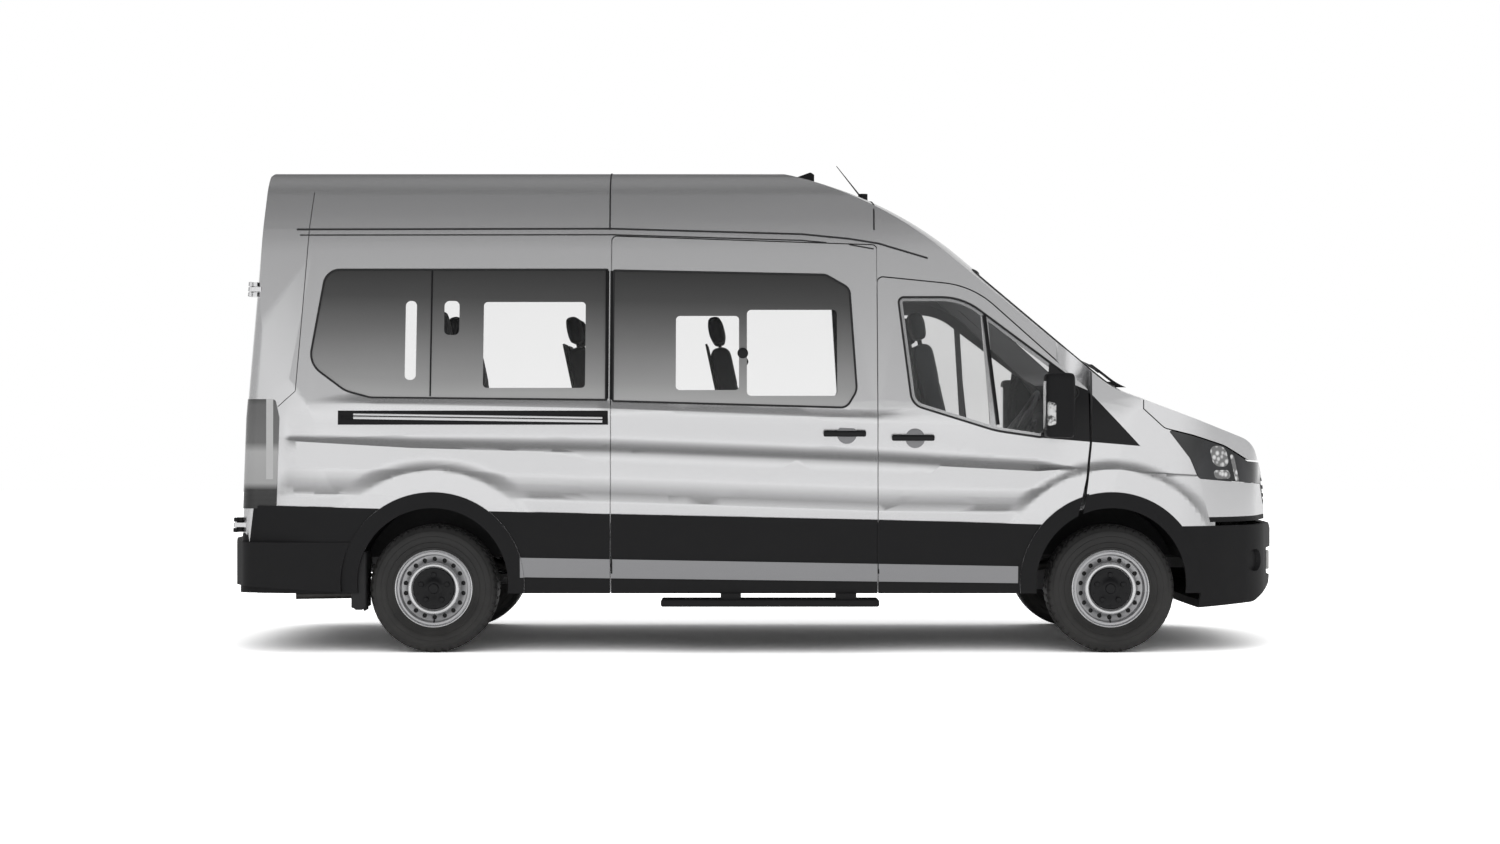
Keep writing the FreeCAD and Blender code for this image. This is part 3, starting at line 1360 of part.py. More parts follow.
def mirror(sign):
    """Door mirror: arm from the window corner and housing."""
    out = D.mirror_half
    rows = [(1740, out, 40), (1580, out, 40), (1580, out - 190, 40), (1748, out - 190, 30)]
    rows = [(a, b * sign, r) for a, b, r in rows]
    housing = plan_prism(rows, 1190, 1545)
    housing = housing.makeFillet(22, [e for e in housing.Edges if abs(e.CenterOfMass.z - 1190) < 1
                                      or abs(e.CenterOfMass.z - 1545) < 1])
    near, far = sorted((sign * 960, sign * (out - 150)))
    arm = Part.makeBox(70, far - near, 60, V(1640, near, 1235))
    return housing.fuse(arm).cut(inside(0)).removeSplitter()


def door_trim(sign):
    """Cladding and handle of a front door."""
    ring = arch_ring(D.front_axle, sign).common(side_prism(front_door_rows()))
    panel = cladding(D.pillar, D.front_axle - D.arch_outer + 150, sign).fuse(ring)
    bar = shell(-34, -16).common(side_prism([(772, 1150, 12), (772, 1206, 12), (986, 1196, 12), (986, 1142, 12)]))
    bar = bar.common(slab(y=side_span(sign)))
    feet = shell(-18, 0).common(side_prism([(772, 1155, 0), (772, 1200, 0), (800, 1200, 0), (800, 1155, 0)]).fuse(
        side_prism([(958, 1150, 0), (958, 1190, 0), (986, 1190, 0), (986, 1150, 0)])))
    return panel.fuse(bar.fuse(feet.common(slab(y=side_span(sign)))))


def slide_trim():
    panel = cladding(D.slide_rear, D.slide_front, -1)
    bar = shell(-34, -16).common(side_prism([(372, 1176, 12), (372, 1232, 12), (604, 1222, 12), (604, 1166, 12)]))
    feet = shell(-18, 0).common(side_prism([(372, 1180, 0), (372, 1228, 0), (400, 1228, 0), (400, 1180, 0)]).fuse(
        side_prism([(576, 1172, 0), (576, 1216, 0), (604, 1216, 0), (604, 1172, 0)])))
    return panel.fuse(bar.fuse(feet).common(slab(y=side_span(-1))))


def door_track():
    """Rail of the sliding door on the rear side wall."""
    rail = shell(-10, 0).common(slab(x=(-2306, -815), y=side_span(-1), z=(1262, 1340)))
    groove = shell(-14, -5).common(slab(x=(-2290, -815), y=side_span(-1), z=(1290, 1312)))
    return rail.cut(groove)


def wipers():
    solids = []
    for y in (-640, 60):
        blade = shell(-16, -3).common(end_prism([(y, 1556, 0), (y + 620, 1636, 0), (y + 620, 1650, 0),
                                                 (y, 1570, 0)], 1200, FAR))
        arm = shell(-26, -12).common(end_prism([(y + 20, 1476, 0), (y + 320, 1592, 0), (y + 320, 1612, 0),
                                                (y + 20, 1502, 0)], 1200, FAR))
        foot = shell(-26, 0).common(end_prism([(y, 1474, 0), (y + 50, 1474, 0), (y + 50, 1506, 0), (y, 1506, 0)],
                                              1200, FAR))
        solids.append(blade.fuse(arm).fuse(foot))
    return Part.Compound(solids)


def antennas():
    fin = side_prism([(236, 2600, 0), (236, 2722, 0), (330, 2756, 20), (350, 2740, 0), (350, 2600, 0)], -45, 45)
    base = Part.makeCylinder(28, 60, V(640, 0, 2570))
    mast = Part.makeCone(5, 2, 250, V(638, 0, 2600), V(-0.62, 0, 0.785))
    return Part.Compound([fin.cut(inside(0)), base.fuse(mast).cut(inside(0))])


def mud_flaps():
    solids = []
    for _, sign in SIDES:
        near, far = side_span(sign, 770, 898)
        solids.append(slab(x=(REAR_AXLE - 399, REAR_AXLE - 391), y=(near, far), z=(226, 533)))
    return solids


def radiator():
    core = Part.makeBox(60, 700, 480, V(2700, -350, 560))
    tray = Part.makeBox(140, 930, 40, V(2660, -465, 520))
    return core.fuse(tray).cut(NODES["chassis"].Shape)


# ----------------------------------------------------------------- assembly
def assemble():
    node("cab_frame", cab_frame())
    node("chassis", chassis())
    node("front_suspension", front_suspension())
    node("rear_axle", rear_axle())
    node("drivetrain", drivetrain())
    node("fuel_tank", fuel_tank())
    DOC.recompute()
    node("exhaust", exhaust())
    node("floor", floor())
    node("roof", roof())
    for side, sign in SIDES:
        node("side_wall_" + side, side_wall(sign).cut(NODES["cab_frame"].Shape))
    node("rear_frame", rear_frame())
    node("sliding_door", sliding_door())
    panes = [pane(REAR_WINDOW, 1), pane(REAR_WINDOW, -1), pane(SLIDE_WINDOW, 1), pane(SLIDE_WINDOW, -1)]
    node("side_glass", Part.Compound(panes))
    screen = shell(0, D.glass).common(end_prism(inset(WINDSCREEN, D.seat_gap), 900, FAR))
    node("windscreen", screen)
    node("fenders", Part.Compound([fender(sign) for _, sign in SIDES]))
    node("front_bumper", front_bumper())
    node("grille", grille())
    node("headlamps", Part.Compound(list(headlamps().Solids) + fog_lamps()))
    node("bonnet", bonnet())
    node("rear_bumper", rear_bumper())
    node("tail_lamps", Part.Compound([tail_lamp(sign, 4) for _, sign in SIDES]))
    sides = [cladding(-2760, D.pillar - 3, 1), cladding(-2760, D.slide_rear - D.shut_gap, -1)]
    sides = [s.cut(NODES["rear_bumper"].Shape).cut(NODES["tail_lamps"].Shape) for s in sides]
    node("side_cladding", Part.Compound(sides + [slide_trim()] + arch_trims() + mud_flaps()))
    node("door_track", door_track())
    node("wheel_liners", wheel_liners())
    node("seat_frames", seat_frames())
    node("seat_cushions", cushions())
    jacket, bore = steering_column()
    node("dashboard", dashboard().fuse(jacket).cut(bore))
    node("side_step", side_step())
    node("antennas", antennas())
    node("wipers", wipers())
    node("radiator", radiator())
    for side, sign in SIDES:
        node("front_door_" + side, front_door(sign))
        node("front_door_trim_" + side, door_trim(sign))
        node("front_door_glass_" + side, pane(FRONT_WINDOW, sign))
        node("mirror_" + side, mirror(sign))
        door = rear_door(sign).fuse(rear_hinge_parts(sign, False))
        node("rear_door_" + side, door)
        glass = shell(0, D.glass).common(end_prism(inset(flipped(REAR_GLASS, sign), D.seat_gap), -FAR, -2500))
        node("rear_glass_" + side, glass)
        node("knuckle_" + side, knuckle(side, sign))
        wheel("front_" + side, "front_axle", sign)
        wheel("rear_" + side, str(REAR_AXLE), sign)
    item = node("steering_wheel", wheel_steering())
    item.Placement = steering_placement()
    DOC.recompute()


def check_and_write():
    os.makedirs("parts", exist_ok=True)
    faults = []
    for item in DOC.Objects:
        if "Invalid" in item.State or "Error" in item.State:
            faults.append("%s is %s" % (item.Name, item.State))
    for name, item in NODES.items():
        shape = item.Shape
        if shape.isNull() or not shape.Solids or not shape.isValid():
            faults.append("%s has no valid solid" % name)
            continue
        print("%-24s solids %3d  volume %9.3f l  x %7.0f %7.0f  y %6.0f %6.0f  z %5.0f %5.0f" % (
            name, len(shape.Solids), shape.Volume / 1e6, shape.BoundBox.XMin, shape.BoundBox.XMax,
            shape.BoundBox.YMin, shape.BoundBox.YMax, shape.BoundBox.ZMin, shape.BoundBox.ZMax))
    if faults:
        raise SystemExit("\n".join(faults))
    for name, item in NODES.items():
        item.Shape.exportStep(os.path.join("parts", name + ".step"))
    print(len(NODES), "sub-parts written")


assemble()
check_and_write()
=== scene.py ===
"""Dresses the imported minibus: paint with its pressed lines, glass, wheels, lamps, seats and the studio."""

import json
import math

import bmesh
import bpy
import numpy as np
from bpy.props import FloatProperty, FloatVectorProperty, IntProperty, PointerProperty
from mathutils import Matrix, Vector
from mathutils.bvhtree import BVHTree

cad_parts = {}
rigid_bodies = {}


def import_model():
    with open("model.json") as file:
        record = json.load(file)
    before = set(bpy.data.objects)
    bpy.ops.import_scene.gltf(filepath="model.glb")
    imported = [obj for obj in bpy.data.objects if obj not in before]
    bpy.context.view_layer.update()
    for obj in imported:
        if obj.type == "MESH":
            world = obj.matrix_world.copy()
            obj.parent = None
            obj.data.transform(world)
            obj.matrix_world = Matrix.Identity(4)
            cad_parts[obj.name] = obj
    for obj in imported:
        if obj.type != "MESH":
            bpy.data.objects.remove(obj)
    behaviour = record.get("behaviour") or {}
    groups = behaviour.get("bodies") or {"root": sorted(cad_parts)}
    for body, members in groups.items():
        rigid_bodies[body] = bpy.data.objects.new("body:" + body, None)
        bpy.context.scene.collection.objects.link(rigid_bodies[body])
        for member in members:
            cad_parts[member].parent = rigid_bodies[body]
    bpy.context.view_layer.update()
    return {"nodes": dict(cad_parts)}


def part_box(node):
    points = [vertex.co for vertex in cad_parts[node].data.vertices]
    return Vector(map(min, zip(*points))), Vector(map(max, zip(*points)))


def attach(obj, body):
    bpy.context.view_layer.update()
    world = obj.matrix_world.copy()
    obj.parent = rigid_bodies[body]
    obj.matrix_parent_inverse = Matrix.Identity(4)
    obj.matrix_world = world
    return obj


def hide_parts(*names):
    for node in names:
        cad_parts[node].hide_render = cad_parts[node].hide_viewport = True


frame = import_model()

bl_info = {
    "name": "Minibus finish",
    "version": (1, 0, 0),
    "blender": (4, 5, 0),
    "location": "View3D > Sidebar > Minibus",
    "description": "Finishes a high-roof minibus and sets it in a plain studio",
    "category": "Object",
}

NODES = frame["nodes"]
SIDES = (("left", 1), ("right", -1))
AXLE_FRONT, AXLE_REAR, HUB_HEIGHT = 1.9675, -1.7825, 0.354
EYE = (-0.030, -14.4, 1.277)


# ---------------------------------------------------------------- choosing and cutting

def deselect():
    """Leave every object unselected, in object mode."""
    if bpy.context.object is not None and bpy.context.object.mode != "OBJECT":
        bpy.ops.object.mode_set(mode="OBJECT")
    bpy.ops.object.select_all(action="DESELECT")


def choose(piece):
    """Select one object alone and make it active."""
    deselect()
    piece.select_set(True)
    bpy.context.view_layer.objects.active = piece


def editing(piece, action="DESELECT"):
    """Open a piece in edit mode with nothing in it selected, or with everything."""
    choose(piece)
    bpy.ops.object.mode_set(mode="EDIT")
    bpy.ops.mesh.select_all(action=action)


def done():
    """Go back to object mode."""
    bpy.ops.object.mode_set(mode="OBJECT")


def pick_faces(piece, wanted):
    """Select the faces for which wanted(centre, normal) is true; the piece is in edit mode."""
    bpy.ops.mesh.select_mode(type="FACE")
    bpy.ops.mesh.select_all(action="DESELECT")
    mesh = bmesh.from_edit_mesh(piece.data)
    found = 0
    for face in mesh.faces:
        if wanted(face.calc_center_median(), face.normal):
            face.select = True
            found += 1
    mesh.select_flush_mode()
    bmesh.update_edit_mesh(piece.data)
    return found


def cut(piece, place, normal, wanted=None):
    """Cut the chosen faces along a plane and keep both sides."""
    if wanted is None:
        bpy.ops.mesh.select_all(action="SELECT")
    elif not pick_faces(piece, wanted):
        return
    bpy.ops.mesh.bisect(plane_co=place, plane_no=normal)


def apply(piece, kind, **settings):
    """Add a modifier to a piece and apply it."""
    choose(piece)
    modifier = piece.modifiers.new(kind.lower(), kind)
    for name, value in settings.items():
        setattr(modifier, name, value)
    bpy.ops.object.modifier_apply(modifier=modifier.name)


def copied(node, name):
    """A merged copy of a CAD node's mesh as a new piece at the origin."""
    piece = bpy.data.objects.new(name, NODES[node].data.copy())
    bpy.context.scene.collection.objects.link(piece)
    editing(piece, "SELECT")
    bpy.ops.mesh.remove_doubles(threshold=1e-5)
    bpy.ops.mesh.customdata_custom_splitnormals_clear()
    bpy.ops.mesh.select_all(action="DESELECT")
    done()
    return piece


# ---------------------------------------------------------------- finishes on pieces

MADE = {}


def finish_piece(piece, body, finish, degrees):
    """Give a new piece its finish and body, and smooth shading up to an angle."""
    choose(piece)
    bpy.ops.object.shade_smooth_by_angle(angle=math.radians(degrees))
    piece.data.materials.clear()
    piece.data.materials.append(MADE[finish])
    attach(piece, body)
    return piece


def paint_faces(piece, finish, wanted):
    """Give the faces for which wanted(centre, normal) is true a further finish."""
    piece.data.materials.append(MADE[finish])
    for face in piece.data.polygons:
        if wanted(face.center, face.normal):
            face.material_index = len(piece.data.materials) - 1


def dress(finish, *nodes):
    """Give CAD nodes' own objects a better material."""
    for node in nodes:
        for place in NODES[node].material_slots:
            place.material = MADE[finish]


# ---------------------------------------------------------------- shapes made by operators

def block(name, corner, other, bevel, segments=3):
    """A box between two opposite corners, with rounded edges."""
    deselect()
    low, high = Vector(map(min, corner, other)), Vector(map(max, corner, other))
    bpy.ops.mesh.primitive_cube_add(size=1.0)
    piece = bpy.context.object
    piece.name = name
    editing(piece, "SELECT")
    bpy.ops.transform.resize(value=high - low)
    bpy.ops.transform.translate(value=(low + high) / 2)
    bpy.ops.mesh.bevel(offset=bevel, segments=segments, affect="EDGES")
    done()
    return piece


def drum(name, centre, radius, depth, bevel, vertices):
    """A short round pad with rounded rims, its axis across the vehicle."""
    deselect()
    bpy.ops.mesh.primitive_cylinder_add(vertices=vertices, radius=radius, depth=depth, location=centre,
                                        rotation=(math.pi / 2, 0, 0))
    piece = bpy.context.object
    piece.name = name
    bpy.ops.object.transform_apply(location=True, rotation=True, scale=True)
    editing(piece)
    pick_faces(piece, lambda p, n: abs(n.y) > 0.9)
    bpy.ops.mesh.bevel(offset=bevel, segments=3, affect="EDGES")
    done()
    return piece


def wire(name, points):
    """A run of edges through the points, as a new piece at the origin."""
    mesh = bpy.data.meshes.new(name)
    mesh.from_pydata([tuple(point) for point in points], [(k, k + 1) for k in range(len(points) - 1)], [])
    piece = bpy.data.objects.new(name, mesh)
    bpy.context.scene.collection.objects.link(piece)
    return piece


def turned(name, rows, x, side, shift, steps):
    """A body of revolution about the wheel axis at x: rows are (radius, outward place past the shift)."""
    piece = wire(name, [(x + radius, side * (shift + out), HUB_HEIGHT) for radius, out in rows])
    editing(piece, "SELECT")
    bpy.ops.mesh.spin(steps=steps, angle=math.tau, center=(x, 0, HUB_HEIGHT), axis=(0, 1, 0))
    bpy.ops.mesh.select_all(action="SELECT")
    bpy.ops.mesh.remove_doubles(threshold=1e-5)
    bpy.ops.mesh.normals_make_consistent(inside=False)
    done()
    return piece


def rounded(piece, radius, resolution):
    """Turn a wire into a tube."""
    choose(piece)
    bpy.ops.object.convert(target="CURVE")
    piece.data.bevel_depth = radius
    piece.data.bevel_resolution = resolution
    piece.data.use_fill_caps = True
    choose(piece)
    bpy.ops.object.convert(target="MESH")
    return bpy.context.object


def lay(name, points, radius, finish="rubber", body="body", degrees=60.0):
    """A finished thin round line through the points."""
    return finish_piece(rounded(wire(name, points), radius, 1), body, finish, degrees)


def along(rows, step):
    """Points every step along a run of (x, z) corners."""
    points = [rows[0]]
    for (x0, z0), (x1, z1) in zip(rows, rows[1:]):
        count = max(1, round(math.hypot(x1 - x0, z1 - z0) / step))
        points += [(x0 + (x1 - x0) * k / count, z0 + (z1 - z0) * k / count) for k in range(1, count + 1)]
    return points


def joined(name, pieces):
    """Join several pieces as one."""
    choose(pieces[0])
    for piece in pieces[1:]:
        piece.select_set(True)
    bpy.ops.object.join()
    pieces[0].name = name
    return pieces[0]


# ---------------------------------------------------------------- places on the CAD surfaces

SURFACES = {}


def surface(node):
    """The tree of a CAD node's surface, made once."""
    if node not in SURFACES:
        mesh = NODES[node].data
        SURFACES[node] = BVHTree.FromPolygons([v.co.copy() for v in mesh.vertices],
                                              [tuple(f.vertices) for f in mesh.polygons])
    return SURFACES[node]


def strike(nodes, start, way):
    """The first places where a ray meets the nodes, for those that it meets."""
    hits = [surface(node).ray_cast(Vector(start), Vector(way))[0] for node in nodes]
    return [hit for hit in hits if hit is not None]


def skin_y(nodes, x, z, sign):
    """Y of the outermost skin of the nodes at (x, z) on one side."""
    hits = strike(nodes, (x, sign * 1.6, z), (0, -sign, 0))
    if not hits:
        raise RuntimeError("no skin at %.3f %.3f" % (x, z))
    return max((hit.y for hit in hits), key=lambda y: y * sign)


def on_skin(nodes, places, sign, back=0.0, off=0.0):
    """Points on one side's skin at (x, z) places, with Y read a little further back and set off outwards."""
    return [(x, skin_y(nodes, x - back, z, sign) + sign * off, z) for x, z in places]


# ---------------------------------------------------------------- nodes for materials

def add(tree, kind, values=None, **settings):
    """Add a node, set its own settings and its input values, and link inputs given as sockets."""
    made = tree.nodes.new(kind)
    for key, value in settings.items():
        setattr(made, key, value)
    for key, value in (values or {}).items():
        if isinstance(value, bpy.types.NodeSocket):
            tree.links.new(value, made.inputs[key])
        else:
            made.inputs[key].default_value = value
    return made


def calc(tree, operation, *values):
    """One math node's result."""
    return add(tree, "ShaderNodeMath", dict(enumerate(values)), operation=operation).outputs[0]


def mixed(tree, factor, first, second, blend="MIX"):
    """Two colours mixed by a factor."""
    first, second = ((*colour, 1.0) if isinstance(colour, tuple) else colour for colour in (first, second))
    return add(tree, "ShaderNodeMix", {0: factor, 6: first, 7: second}, data_type="RGBA",
               blend_type=blend).outputs[2]


def ramp(tree, factor, stops):
    """A colour ramp: stops are (place, grey or colour)."""
    made = add(tree, "ShaderNodeValToRGB", {"Fac": factor})
    elements = made.color_ramp.elements
    while len(elements) > 1:
        elements.remove(elements[-1])
    for index, (place, shade) in enumerate(stops):
        colour = (shade, shade, shade) if isinstance(shade, float) else shade
        element = elements[0] if index == 0 else elements.new(place)
        element.position = place
        element.color = (*colour, 1.0)
    return made.outputs["Color"]


def object_places(tree):
    """The object's own coordinates."""
    return add(tree, "ShaderNodeTexCoord").outputs["Object"]


def object_axes(tree):
    """X, Y and Z of the object's own coordinates."""
    return add(tree, "ShaderNodeSeparateXYZ", {"Vector": object_places(tree)}).outputs


def varied(tree, level, spread):
    """A shade round 1 from a level round one half."""
    return calc(tree, "MULTIPLY_ADD", calc(tree, "SUBTRACT", level, 0.5), spread, 1.0)


def relief(tree, shader, height, strength, distance):
    """Raise the surface by a height, in its shading alone."""
    made = add(tree, "ShaderNodeBump", {"Strength": strength, "Distance": distance, "Height": height})
    tree.links.new(made.outputs["Normal"], shader.inputs["Normal"])


# ---------------------------------------------------------------- effects that materials share

def fine_grain(group, given):
    """Height and shade of a fine noise."""
    noise = add(group, "ShaderNodeTexNoise", {"Vector": object_places(group), "Scale": given["Scale"],
                                              "Detail": 3.0, "Roughness": 0.6}).outputs[0]
    return noise, varied(group, noise, given["Spread"])


def metal_flake(group, given):
    """Height and shade of small cells, each with its own level."""
    cells = add(group, "ShaderNodeTexVoronoi", {"Vector": object_places(group), "Scale": given["Scale"]})
    flake = add(group, "ShaderNodeSeparateColor", {"Color": cells.outputs["Color"]}).outputs[0]
    return flake, varied(group, flake, given["Spread"])


def cloth_weave(group, given):
    """Height of crossing threads, and the shade of larger specks."""
    where = object_places(group)
    across, length = (add(group, "ShaderNodeTexWave", {"Vector": where, "Scale": given["Scale"]},
                          bands_direction=axis).outputs[0] for axis in "XY")
    specks = add(group, "ShaderNodeTexNoise", {"Vector": where, "Scale": 90.0}).outputs[0]
    return calc(group, "MULTIPLY", across, length), varied(group, specks, given["Spread"])


def road_dust(group, given):
    """Where dust lies: most at the ground, in clouds, and none above the top."""
    where = object_places(group)
    height = add(group, "ShaderNodeSeparateXYZ", {"Vector": where}).outputs["Z"]
    fade = calc(group, "SUBTRACT", 1.0, calc(group, "DIVIDE", height, given["Top"]))
    noise = add(group, "ShaderNodeTexNoise", {"Vector": where, "Scale": 9.0, "Detail": 6.0}).outputs[0]
    cloud = calc(group, "MULTIPLY", calc(group, "MAXIMUM", fade, 0.0), noise)
    return (calc(group, "MULTIPLY", cloud, given["Amount"]),)


def clear_pane(group, given):
    """1 inside a rectangle with round corners."""
    parts = []
    for axis in "XZ":
        away = calc(group, "ABSOLUTE", calc(group, "SUBTRACT", given[axis], given["Centre " + axis]))
        past = calc(group, "ADD", calc(group, "SUBTRACT", away, given["Half " + axis]), given["Corner"])
        past = calc(group, "MAXIMUM", past, 0.0)
        parts.append(calc(group, "MULTIPLY", past, past))
    reach = calc(group, "SQRT", calc(group, "ADD", *parts))
    return (calc(group, "LESS_THAN", reach, calc(group, "ADD", given["Corner"], given["Margin"])),)


# name, function that makes its outputs, inputs with their defaults, outputs
GROUPS = (
    ("fine grain", fine_grain, {"Scale": 600.0, "Spread": 0.1}, ("Height", "Shade")),
    ("metal flake", metal_flake, {"Scale": 1400.0, "Spread": 0.12}, ("Height", "Shade")),
    ("cloth weave", cloth_weave, {"Scale": 260.0, "Spread": 0.7}, ("Height", "Shade")),
    ("road dust", road_dust, {"Top": 0.95, "Amount": 0.4}, ("Mask",)),
    ("clear pane", clear_pane, {"X": 0.0, "Z": 0.0, "Centre X": 0.0, "Centre Z": 0.0, "Half X": 0.1,
                                "Half Z": 0.1, "Corner": 0.03, "Margin": 0.0}, ("Mask",)),
)


def build_groups():
    """The effects that more than one material uses, as node groups."""
    for name, make, inputs, outputs in GROUPS:
        group = bpy.data.node_groups.new(name, "ShaderNodeTree")
        for label, default in inputs.items():
            socket = group.interface.new_socket(name=label, in_out="INPUT", socket_type="NodeSocketFloat")
            socket.default_value = default
        for label in outputs:
            group.interface.new_socket(name=label, in_out="OUTPUT", socket_type="NodeSocketFloat")
        start, end = group.nodes.new("NodeGroupInput"), group.nodes.new("NodeGroupOutput")
        for label, result in zip(outputs, make(group, start.outputs)):
            group.links.new(result, end.inputs[label])


def place_group(tree, name, values):
    """Put a group of this file in a material."""
    return add(tree, "ShaderNodeGroup", values, node_tree=bpy.data.node_groups[name]).outputs


def panes_mask(tree, across, height, panes, margin=0.0):
    """1 inside any of the rounded panes and 0 outside them."""
    whole = None
    for x, z, half_x, half_z, corner in panes:
        mask = place_group(tree, "clear pane", {"X": across, "Z": height, "Centre X": x, "Centre Z": z,
                                                "Half X": half_x, "Half Z": half_z, "Corner": corner,
                                                "Margin": margin})["Mask"]
        whole = mask if whole is None else calc(tree, "MAXIMUM", whole, mask)
    return whole


# ---------------------------------------------------------------- materials

BLACK = (0.006, 0.006, 0.007)
DUST = (0.30, 0.28, 0.25)

# Panes with round corners: centre X, centre Z, half X, half Z and corner radius, in metres.
CLEAR_PANES = (
    (-0.266, 1.660, 0.175, 0.206, 0.022),
    (0.203, 1.661, 0.250, 0.239, 0.024),
    (-1.226, 1.705, 0.283, 0.239, 0.022),
    (-1.912, 1.730, 0.031, 0.220, 0.028),
    (-1.686, 1.855, 0.042, 0.095, 0.028),
)
LAMP_BOWLS = ((2.588, 1.086, 0.050, 0.058, 0.040), (2.580, 0.985, 0.050, 0.024, 0.022),
              (2.668, 1.020, 0.012, 0.075, 0.012))


def new_material(name, values):
    """A material with constants set on the shader's own sockets."""
    material = bpy.data.materials.new(name)
    material.use_nodes = True
    shader = material.node_tree.nodes["Principled BSDF"]
    for key, value in values.items():
        shader.inputs[key].default_value = (*value, 1.0) if isinstance(value, tuple) else value
    return material, material.node_tree, shader


def grained(name, colour, roughness, scale=700.0, spread=0.12, bump=0.25, depth=0.0004, dust=0.0,
            group="fine grain", **values):
    """A surface with grain in its colour and height, and road dust low down where asked."""
    material, tree, shader = new_material(name, {"Roughness": roughness, **values})
    grain = place_group(tree, group, {"Scale": scale, "Spread": spread})
    result = mixed(tree, 1.0, colour, grain["Shade"], "MULTIPLY")
    if dust:
        result = mixed(tree, place_group(tree, "road dust", {"Amount": dust})["Mask"], result, DUST)
    tree.links.new(result, shader.inputs["Base Color"])
    relief(tree, shader, grain["Height"], bump, depth)
    return material


def flaked(name, colour, roughness, scale, spread, bump, metallic, **values):
    """Paint or plating with a metal grain."""
    return grained(name, colour, roughness, scale, spread, bump, 0.0001, group="metal flake",
                   Metallic=metallic, **values)


def pane_material(name, colour, cover, corner=0.0):
    """A pane that shows what is behind it, with a little haze and, past its corner line, a black edge."""
    material, tree, shader = new_material(name, {"Base Color": colour, "Roughness": 0.03, "IOR": 1.5})
    mist = add(tree, "ShaderNodeTexNoise", {"Scale": 1.2, "Detail": 0.0}).outputs[0]
    haze = calc(tree, "MULTIPLY_ADD", mist, 0.06, cover - 0.03)
    if corner:
        axes = object_axes(tree)
        edge = calc(tree, "GREATER_THAN", calc(tree, "MULTIPLY_ADD", axes["Z"], -0.10, axes["X"]), corner)
        haze = calc(tree, "MAXIMUM", haze, edge)
        tree.links.new(mixed(tree, edge, colour, BLACK), shader.inputs["Base Color"])
    tree.links.new(haze, shader.inputs["Alpha"])
    return material


def side_glass_material(look):
    """Dark tinted glass with a painted reflection that makes it paler towards its foot, and clear panes let
    into its printed border.
    """
    material, tree, shader = new_material("tinted side glass with painted reflection", {"Roughness": 0.04, "IOR": 1.5})
    axes = object_axes(tree)
    far = calc(tree, "GREATER_THAN", axes["Y"], 0.0)
    spread = calc(tree, "MULTIPLY_ADD", far, look.far_spread - 1.0, 1.0)
    drawn = []
    for axis, eye in (("X", EYE[0]), ("Z", EYE[2])):
        away = calc(tree, "DIVIDE", calc(tree, "SUBTRACT", axes[axis], eye), spread)
        drawn.append(calc(tree, "ADD", away, eye))
    clear = panes_mask(tree, *drawn, CLEAR_PANES, calc(tree, "MULTIPLY", far, 0.012))
    opaque = 0.97
    alpha = calc(tree, "MULTIPLY_ADD", clear, look.clear_cover - opaque, opaque)
    tree.links.new(alpha, shader.inputs["Alpha"])
    slope = calc(tree, "MULTIPLY_ADD", axes["X"], 0.02, axes["Z"])
    fall = add(tree, "ShaderNodeMapRange", {"Value": slope, "From Min": 1.36, "From Max": 2.10}).outputs[0]
    # Painted reflection: the glass's colour grows paler towards its foot.
    shade = ramp(tree, fall, ((0.0, 0.50), (0.16, 0.36), (0.50, 0.19), (0.78, 0.075), (1.0, 0.04)))
    mist = add(tree, "ShaderNodeTexNoise", {"Scale": 2.5, "Detail": 2.0}).outputs[0]
    shade = mixed(tree, 1.0, shade, ramp(tree, mist, ((0.3, 0.92), (0.7, 1.0))), "MULTIPLY")
    tree.links.new(shade, shader.inputs["Base Color"])
    return material


def tail_material():
    """Smoked lamp glass with a dark foot and a clear inner strip, by height and distance from the corner."""
    material, tree, shader = new_material("tail lamp glass", {"Roughness": 0.10, "Coat Weight": 0.6})
    axes = object_axes(tree)
    rise = add(tree, "ShaderNodeMapRange", {"Value": axes["Z"], "From Min": 0.79, "From Max": 1.41})
    shade = ramp(tree, rise.outputs[0], ((0.0, 0.012), (0.18, 0.022), (0.24, 0.42), (0.52, 0.46),
                                         (0.60, 0.16), (0.94, 0.13), (1.0, 0.05)))
    strip = calc(tree, "MULTIPLY", calc(tree, "GREATER_THAN", axes["X"], -2.712),
                 calc(tree, "LESS_THAN", axes["X"], -2.672))
    strip = calc(tree, "MULTIPLY", strip, calc(tree, "GREATER_THAN", axes["Z"], 0.96))
    tree.links.new(mixed(tree, strip, shade, (0.58, 0.58, 0.58)), shader.inputs["Base Color"])
    ribs = add(tree, "ShaderNodeTexWave", {"Scale": 28.0}, bands_direction="Z").outputs[0]
    relief(tree, shader, ribs, 0.25, 0.002)
    return material


def indicator_material():
    """Ribbed clear indicator glass over bright metal, with dark and bright patches of painted reflection in
    its colour.
    """
    material, tree, shader = new_material("indicator glass with painted reflections", {"Roughness": 0.10, "Metallic": 0.6})
    where = object_places(tree)
    noise = add(tree, "ShaderNodeTexNoise", {"Vector": where, "Scale": 45.0, "Detail": 2.0}).outputs[0]
    # Painted reflections: noise patches from dark to bright in the colour.
    shade = ramp(tree, noise, ((0.38, 0.12), (0.50, 0.75), (0.62, 0.95)))
    tree.links.new(shade, shader.inputs["Base Color"])
    ribs = add(tree, "ShaderNodeTexWave", {"Vector": where, "Scale": 40.0}, bands_direction="Z").outputs[0]
    relief(tree, shader, ribs, 0.4, 0.002)
    return material


